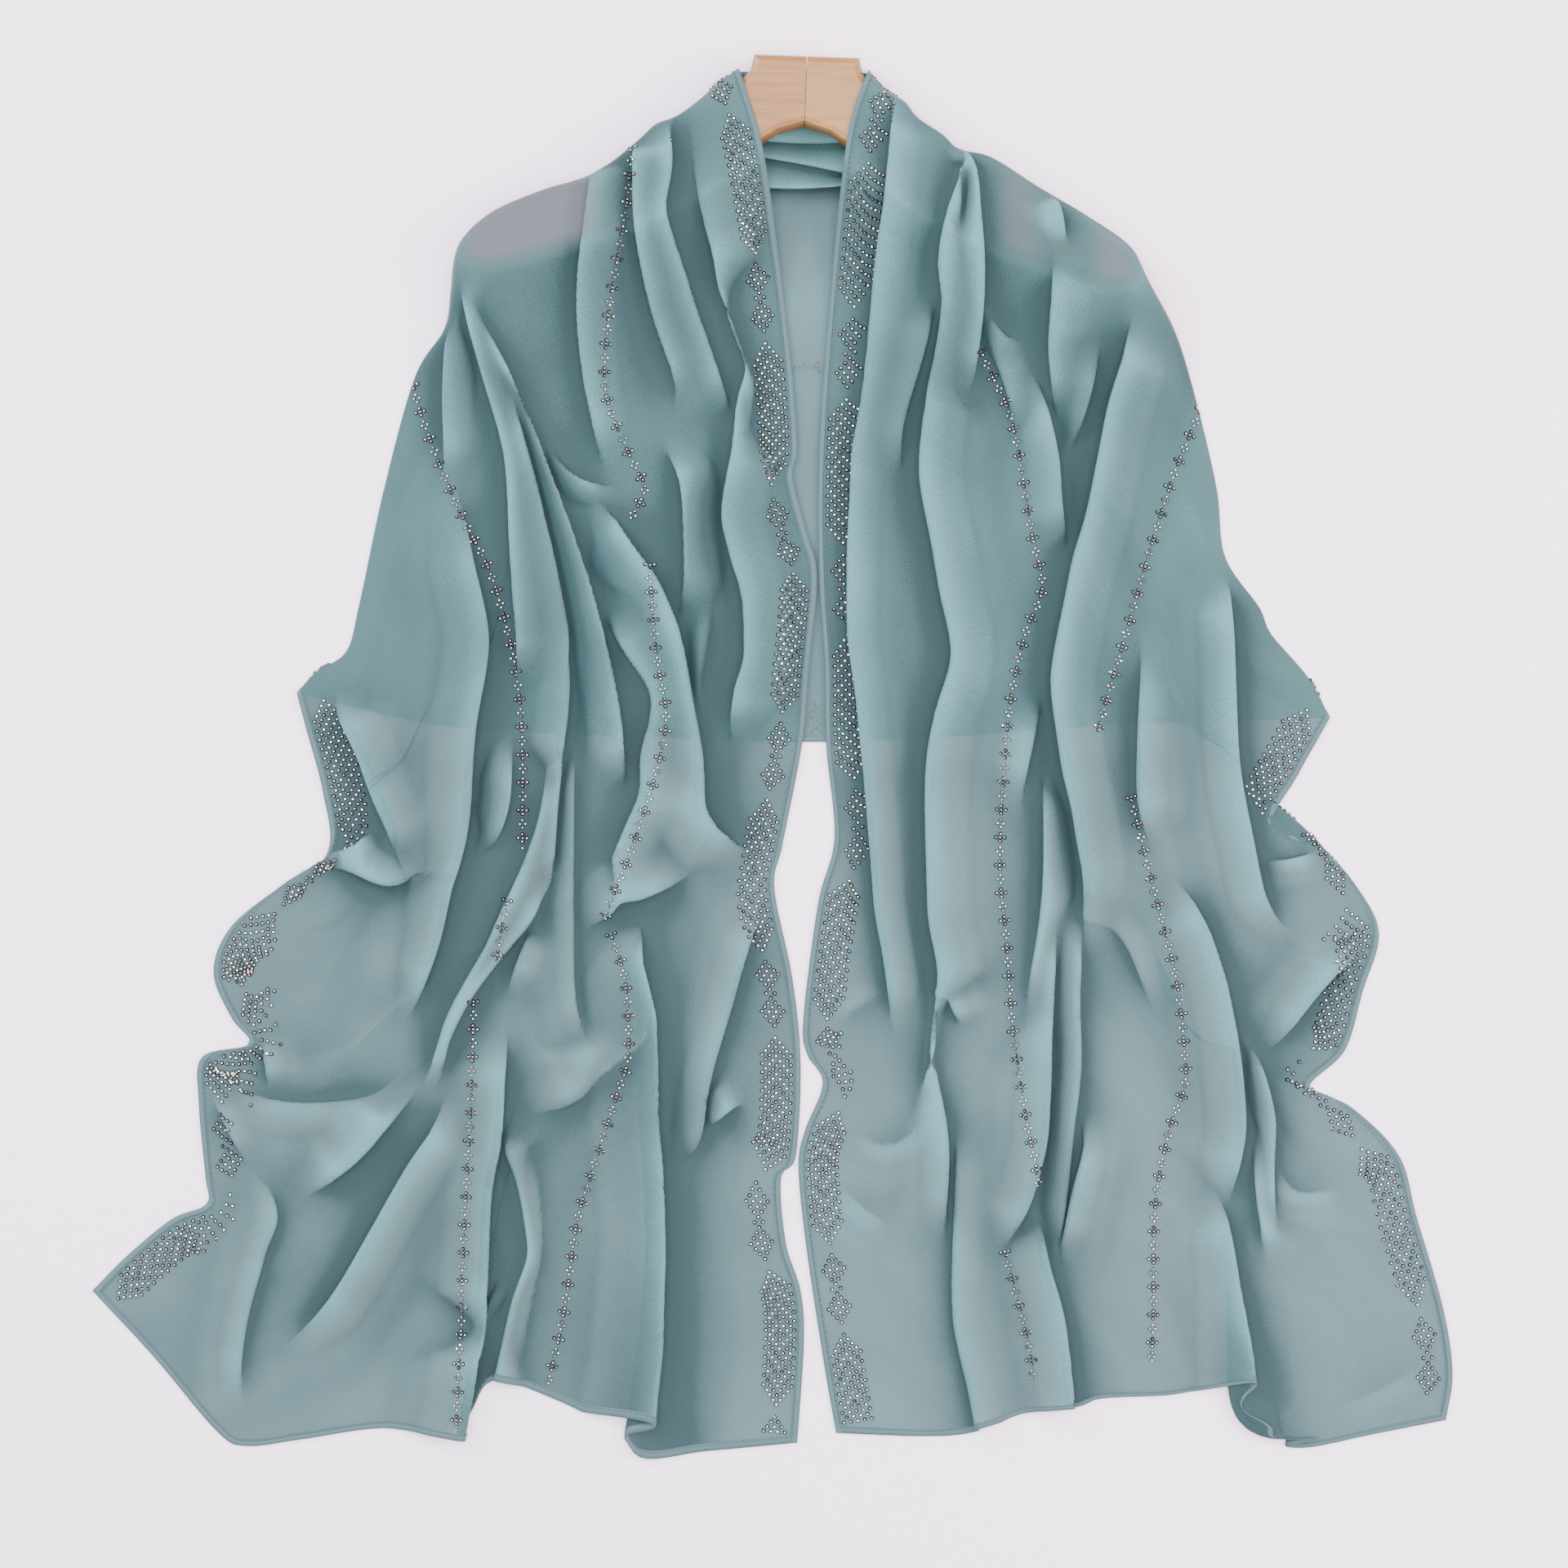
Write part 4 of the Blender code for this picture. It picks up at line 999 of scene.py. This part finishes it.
# Many small things
def scatter(name, template, places, material):
    # joined copies of a small mesh; a place is (origin, along, across, up, size, tint) in mm
    points, faces = template
    # height of each point in the stone, for the painted rim shade and table highlight
    heights = (points[:, 2] - points[:, 2].min()) / np.ptp(points[:, 2])
    allPoints, allFaces, tints = [], [], []
    for number, (origin, along, across, up, size, tint) in enumerate(places):
        allPoints.append(origin + (points * size) @ np.stack([along, across, up]))
        allFaces.extend([number * len(points) + corner for corner in face] for face in faces)
        tints.extend([tint] * len(points))
    mesh = bpy.data.meshes.new(name)
    mesh.from_pydata(((np.concatenate(allPoints) + toMiddle) * mm).tolist(), [], allFaces)
    return newPiece(name, mesh, material, tint=tints, table=np.tile(heights, len(places)))


def templateMesh(build):
    small = bmesh.new()
    build(small)
    bmesh.ops.recalc_face_normals(small, faces=small.faces)
    small.verts.index_update()
    points = np.array([vertex.co[:] for vertex in small.verts])
    faces = [[vertex.index for vertex in face.verts] for face in small.faces]
    small.free()
    return points, faces


def cutStone(small, depth=0.62, table=0.42):
    # a seven-sided chaton, 1 mm in radius: sloping crown and flat table
    bmesh.ops.create_cone(small, cap_ends=True, segments=7, radius1=1.0, radius2=table, depth=depth)
    bmesh.ops.translate(small, verts=small.verts, vec=(0, 0, depth / 2))


def stitchBar(small, topHalf=0.09, footHalf=0.12, top=0.1, foot=-0.02):
    # one stitch, 1 mm long, narrower at the top
    bmesh.ops.create_cube(small, size=1.0)
    for vertex in small.verts:
        half, height = (topHalf, top) if vertex.co.z > 0 else (footHalf, foot)
        vertex.co = (vertex.co.x, math.copysign(half, vertex.co.y), height)


strips = {"columns": 30, "slantColumn": 7, "evened": 5, "mostSlant": 0.75}


class Strip:
    # finds places on a grid at a run along one edge and a distance in from it
    def __init__(self, grid, side):
        self.grid, self.normals = fromSide(grid, side), fromSide(gridNormals(grid), side)
        self.run = runAlong(self.grid[:, 0])
        self.across = runLengths(self.grid[:, :strips["columns"]])[0]
        self.length = self.run[-1]
        rows = unit(self.grid[:, strips["slantColumn"]] - self.grid[:, 0])
        edge = unit(np.gradient(self.grid[:, 0], axis=0))
        pad = strips["evened"]
        window = np.ones(2 * pad + 1) / (2 * pad + 1)
        slant = np.convolve(np.pad((rows * edge).sum(axis=1), pad, mode="edge"), window, mode="valid")
        self.slant = np.clip(slant, -strips["mostSlant"], strips["mostSlant"])

    def place(self, run, inset, lift=0.0):
        # the rows of the grid meet the edge at a slant; the pattern is laid square to it
        slant = np.interp(run, self.run, self.slant)
        run -= inset * slant / math.sqrt(1.0 - slant * slant)
        inset /= math.sqrt(1.0 - slant * slant)
        row = np.interp(run, self.run, np.arange(len(self.run)))
        i = min(int(row), len(self.run) - 2)
        t = row - i
        column = np.interp(inset, self.across[i], np.arange(self.across.shape[1]))
        j = min(int(column), self.grid.shape[1] - 2)
        s = column - j
        g = self.grid
        point = ((1 - t) * ((1 - s) * g[i, j] + s * g[i, j + 1])
                 + t * ((1 - s) * g[i + 1, j] + s * g[i + 1, j + 1]))
        up = unit(self.normals[i, j])
        along = g[i + 1, j] - g[i, j]
        along = unit(along - up * np.dot(along, up))
        return point + up * lift, along, np.cross(up, along), up


# Rhinestones
stones = {
    "border": {
        "columnStep": 2.15, "rowStep": 2.92, "middle": 14.5, "radius": 1.38, "repeat": 144.0,
        "blockRows": 16,       # rows in half of a long block, and columns in half of any
        "blockColumns": 4,
        "gap": 4.8,
        "diamond": 3,          # rows in half of a small block, and from one to the next
        "diamondStep": 8,
        "single": 1.2,         # columns from the middle to a stone between two diamonds
        "askew": 0.12,         # how far a stone may sit from its place, in millimetres
        "mauveShare": 0.14,
    },
    "chain": {
        "pitch": 17.0, "flower": 2.6, "petal": 1.38, "pale": 1.1,
        "heart": 0.8,          # size of the middle stone, in petals
        "squeeze": 0.85,       # the flower is a little shorter than it is wide
        "cluster": (2.3, 1.7),  # half of the pale cluster along the chain and across it
        "askew": 0.1,
        "mauveShare": 0.2,
    },
    "tilt": 0.15,
    "lift": 0.12,          # glue under a stone
    "under": 0.15,         # the same, for stones on the underside of the back
}
placed = {"dark": [], "mauve": [], "clear": []}
draw = random.Random(11)


def setStone(place, size, kind, mauveShare):
    # a stone sits a little askew in its glue, and some are of the mauve kind
    kind = draw.choices([kind, "mauve"], [1.0 - mauveShare, mauveShare])[0]
    tint, spin = draw.random(), draw.uniform(0, 1)
    origin, along, across, up = place
    tilts = [draw.uniform(-stones["tilt"], stones["tilt"]) for _ in range(2)]
    up = unit(up + along * tilts[0] + across * tilts[1])
    along = unit(along - up * np.dot(along, up))
    across = np.cross(up, along)
    c, s = math.cos(spin), math.sin(spin)
    placed[kind].append((origin, along * c + across * s, across * c - along * s, up, size, tint))


def borderPattern():
    # one repeat as (run, offset from the middle of the band, kind)
    border = stones["border"]
    row, column, half, side = (border[key] for key in ("rowStep", "columnStep", "blockRows", "blockColumns"))
    pattern = []
    for n in range(-half, half + 1):
        for m in range(-side, side + 1):
            ring = abs(m) + abs(n)
            if ring % 2 and abs(m) + max(0, abs(n) - (half - side)) <= side:
                kind = "dark" if ring % 4 == 1 else ("mauve" if abs(m) == side else "clear")
                pattern.append(((half + n) * row, m * column, kind))
    size = border["diamond"]
    first = 2 * half * row + border["gap"] + size * row
    for centre in (first, first + border["diamondStep"] * row):
        for n in range(-size, size + 1):
            for m in range(-size, size + 1):
                ring = abs(m) + abs(n)
                if ring % 2 and ring <= size:
                    kind = "clear" if ring == 1 else ("dark" if (m + n) % 4 == 1 else "mauve")
                    pattern.append((centre + n * row, m * column, kind))
    between = first + border["diamondStep"] / 2 * row
    single = border["single"] * column
    return pattern + [(between, -single, "dark"), (between, single, "dark")]


def layBorder(strip, block, pitch, first=5.0, last=-5.0, under=False):
    # block is where one long block starts; minus values are counted back from the end of the edge
    border = stones["border"]
    askew = border["askew"]
    block, first, last = (value + strip.length if value < 0 else value for value in (block, first, last))
    run = block - pitch * math.ceil(block / pitch)
    while run < last:
        for along, offset, kind in borderPattern():
            where = run + along * pitch / border["repeat"]
            if where < first or where > last:
                continue
            jitter = draw.uniform(-askew, askew)
            inset = border["middle"] + offset + draw.uniform(-askew, askew)
            place = strip.place(where + jitter, inset, stones["lift"])
            if under:
                origin, ahead, across, up = place
                place = (origin - up * stones["under"], ahead, -across, -up)
            setStone(place, border["radius"], kind, border["mauveShare"])
        run += pitch


# Columns: grid, edge, start of one long block, repeat, and the run from where to where
borderRuns = [
    (leftGrid, "inner", 47.0, 144.0, 5.0, -5.0),
    (leftGrid, "outer", 6.0, 144.0, 3.0, -252.0),
    (leftGrid, "outer", -98.0, 144.0, -250.0, -5.0),
    (rightGrid, "inner", 79.0, 146.0, 5.0, -5.0),
    (rightGrid, "outer", 1.0, 144.0, 3.0, 94.0),
    (rightGrid, "outer", -188.0, 180.0, 104.0, -10.0),
]
for grid, side, block, pitch, first, last in borderRuns:
    layBorder(Strip(grid, side), block, pitch, first, last)
layBorder(Strip(middleGrid, "end"), 124.0, 144.0, under=True)

# Stretches of the two chains that show on each front, from the neck down
leftChains = [
    [(-86, 372), (-89, 340), (-96, 300), (-101, 270), (-103, 225), (-91, 192), (-84, 177), (-79, 165),
        (-89, 145)],
    [(-76, 120), (-72, 65), (-66, 25), (-74, -15), (-89, -60), (-101, -90), (-104, -100)],
    [(-100, -106), (-91, -135), (-89, -180), (-96, -205), (-114, -260), (-121, -285), (-129, -340),
        (-139, -385)],
    [(-221, 230), (-214, 205), (-194, 155), (-174, 115), (-161, 70), (-156, 40), (-154, 10), (-154, -55)],
    [(-163, -85), (-170, -125)],
    [(-184, -147), (-185, -205), (-189, -285), (-191, -335), (-194, -410)],
]
rightChains = [
    [(126, 250), (133, 235), (146, 205), (157, 140), (163, 115), (163, 100), (153, 75), (143, 25),
        (138, -60), (142, -110), (146, -165), (153, -215), (161, -255), (160, -265)],
    [(141, -300), (146, -320), (156, -360), (158, -380)],
    [(261, 215), (243, 170), (226, 115), (213, 70), (198, 20), (196, 15)],
    [(218, -22), (231, -75), (246, -135), (251, -180), (251, -200), (241, -230), (233, -275), (232, -335),
        (231, -368)],
]
backChain = [(-214, 262), (-100, 250), (20, 240), (140, 250), (244, 262)]


def treeOf(piece):
    mesh = piece.data
    return BVHTree.FromPolygons([vertex.co[:] for vertex in mesh.vertices],
                                [tuple(polygon.vertices) for polygon in mesh.polygons])


def layChain(tree, points, start=1.0, fromBelow=False):
    # a flower of dark stones and a small diamond of pale ones, turn by turn
    chain = stones["chain"]
    path = smoothPath(points, 1.0)
    run = runAlong(path)
    source, way, lift = (-0.05, 1, -0.02) if fromBelow else (0.2, -1, stones["lift"])

    def drop(where, side):
        # a place on the cloth straight above or below a point beside the path
        index = min(max(int(np.searchsorted(run, where)), 1), len(path) - 1)
        step = path[index] - path[index - 1]
        ahead = unit(step)
        t = (where - run[index - 1]) / max(run[index] - run[index - 1], 1e-6)
        spot = path[index - 1] + step * t + np.array([-ahead[1], ahead[0]]) * side + toMiddle[:2]
        hit, normal, _, _ = tree.ray_cast(Vector((*(spot * mm), source)), Vector((0, 0, way)))
        if hit is None:
            return None
        up = np.array(normal) * math.copysign(1, -normal.z * way)
        along = np.array([*ahead, 0.0])
        along = unit(along - up * np.dot(along, up))
        return np.array(hit) / mm - toMiddle + up * lift, along, np.cross(up, along), up

    reach, petal, pale = chain["flower"], chain["petal"], chain["pale"]
    short = reach * chain["squeeze"]
    middle, (half, wide) = chain["pitch"] / 2, chain["cluster"]
    group = [(0.0, reach, petal, "dark"), (0.0, -reach, petal, "dark"), (short, 0.0, petal, "dark"),
             (-short, 0.0, petal, "dark"), (0.0, 0.0, petal * chain["heart"], "mauve"),
             (middle - half, 0.0, pale, "clear"), (middle + half, 0.0, pale, "clear"),
             (middle, wide, pale, "clear"), (middle, -wide, pale, "clear")]
    while start < run[-1]:
        for along, side, size, kind in group:
            if 0.0 <= start + along <= run[-1]:
                place = drop(start + along, side + draw.uniform(-chain["askew"], chain["askew"]))
                if place is not None:
                    setStone(place, size, kind, chain["mauveShare"])
        start += chain["pitch"]


for piece, chains in ((scarfLeft, leftChains), (scarfRight, rightChains)):
    tree = treeOf(piece)
    for points in chains:
        layChain(tree, points)
layChain(treeOf(scarfBack), backChain, 4.0, fromBelow=True)
stoneShape = templateMesh(cutStone)
stonePieces = [scatter("stones" + kind.capitalize(), stoneShape, places, glass[kind])
               for kind, places in placed.items()]
print("rhinestones set:", sum(len(row) for row in placed.values()))

# Stitches
stitch = {"length": 2.1, "width": 2.4, "height": 2.0, "pitch": 3.3, "inset": 3.7, "lift": 0.55, "ends": 3.0}


def runStitches(strip):
    places = []
    run = stitch["ends"]
    while run < strip.length - stitch["ends"]:
        origin, along, across, up = strip.place(run, stitch["inset"], stitch["lift"])
        places.append((origin, along * stitch["length"], across * stitch["width"], up * stitch["height"],
                       1.0, 0.5))
        run += stitch["pitch"]
    return places


stitches = []
for grid in (leftGrid, rightGrid):
    for side in ("inner", "outer", "end"):
        stitches += runStitches(Strip(grid, side))
hemStitches = scatter("hemStitches", templateMesh(stitchBar), stitches, thread)
print("stitches sewn:", len(stitches))

# Finish of the hanger
for node, board in beechLook["boards"].items():
    wood = beechMaterial(*board)
    for slotEntry in bpy.data.objects[node].material_slots:
        slotEntry.material = wood
print("hanger finished")

# What rides on the root, and which parts of the model are hidden
for piece in [scarfLeft, scarfRight, scarfBack, hemStitches] + leftHems + rightHems + backHems + stonePieces:
    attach(piece, "root")
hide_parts("scarf_front_left")
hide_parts("scarf_front_right")
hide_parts("scarf_back")


def clothArea(grid):
    a, b = np.diff(grid[:-1], axis=1), np.diff(grid[:, :-1], axis=0)
    return float(np.linalg.norm(np.cross(a, b), axis=2).sum()) * mm * mm


for name, grid in (("left front", leftGrid), ("right front", rightGrid), ("back", middleGrid)):
    down = runLengths(grid)[1]
    print(f"{name}: {clothArea(grid):.4f} m2, edges {down[-1, 0]:.0f} and {down[-1, -1]:.0f} mm")

# Floor, light and camera
studio = {
    "floor": "#f7e6fa",
    "floorHalf": 4.0,
    "sky": 1.62,
    "skyColour": (1.0, 0.985, 0.99, 1.0),
    "frameWidth": 0.96,    # metres of the floor across the picture
    "height": 2.6,         # of the camera
    "centre": (0.007, -0.0156),
    "sensor": 36.0,
    "lights": {  # place, target, size, power, colour
        "overheadPanel": ((0.0, 0.0, 3.3), (0.0, 0.0, 0.0), 3.0, 208.0, (1.0, 1.0, 1.0)),
        "keyWindow": ((-1.9, 1.5, 1.3), (0.0, 0.0, 0.0), 1.1, 100.0, (0.93, 1.0, 1.04)),
        "warmFill": ((1.9, 0.1, 1.2), (0.2, 0.0, 0.0), 0.9, 66.0, (1.0, 0.84, 0.86)),
    },
}


def softLight(name, place, target, size, power, colour):
    lamp = bpy.data.lights.new(name, "AREA")
    lamp.color = colour
    lamp.size = size
    lamp.energy = power
    holder = bpy.data.objects.new(name, lamp)
    holder.location = place
    holder.rotation_euler = (Vector(target) - Vector(place)).to_track_quat("-Z", "Y").to_euler()
    bpy.context.scene.collection.objects.link(holder)


floorMesh = bmesh.new()
bmesh.ops.create_grid(floorMesh, x_segments=2, y_segments=2, size=studio["floorHalf"])
floorData = bpy.data.meshes.new("floor")
floorMesh.to_mesh(floorData)
floorMesh.free()
# a matt paper backdrop, pale and even
paper, _ = newMaterial("paperBackdrop", **{"Base Color": hexColour(studio["floor"]), "Roughness": 0.9})
newPiece("floor", floorData, paper)

world = bpy.data.worlds.new("studioWorld")
world.use_nodes = True
sky = world.node_tree.nodes["Background"]
sky.inputs["Color"].default_value = studio["skyColour"]
sky.inputs["Strength"].default_value = studio["sky"]
bpy.context.scene.world = world
for name, settings in studio["lights"].items():
    softLight(name, *settings)

camera = bpy.data.cameras.new("overheadCamera")
camera.sensor_width = studio["sensor"]
camera.lens = studio["sensor"] * studio["height"] / studio["frameWidth"]
viewer = bpy.data.objects.new("overheadCamera", camera)
viewer.location = (*studio["centre"], studio["height"])
bpy.context.scene.collection.objects.link(viewer)
bpy.context.scene.camera = viewer
print("studio ready")
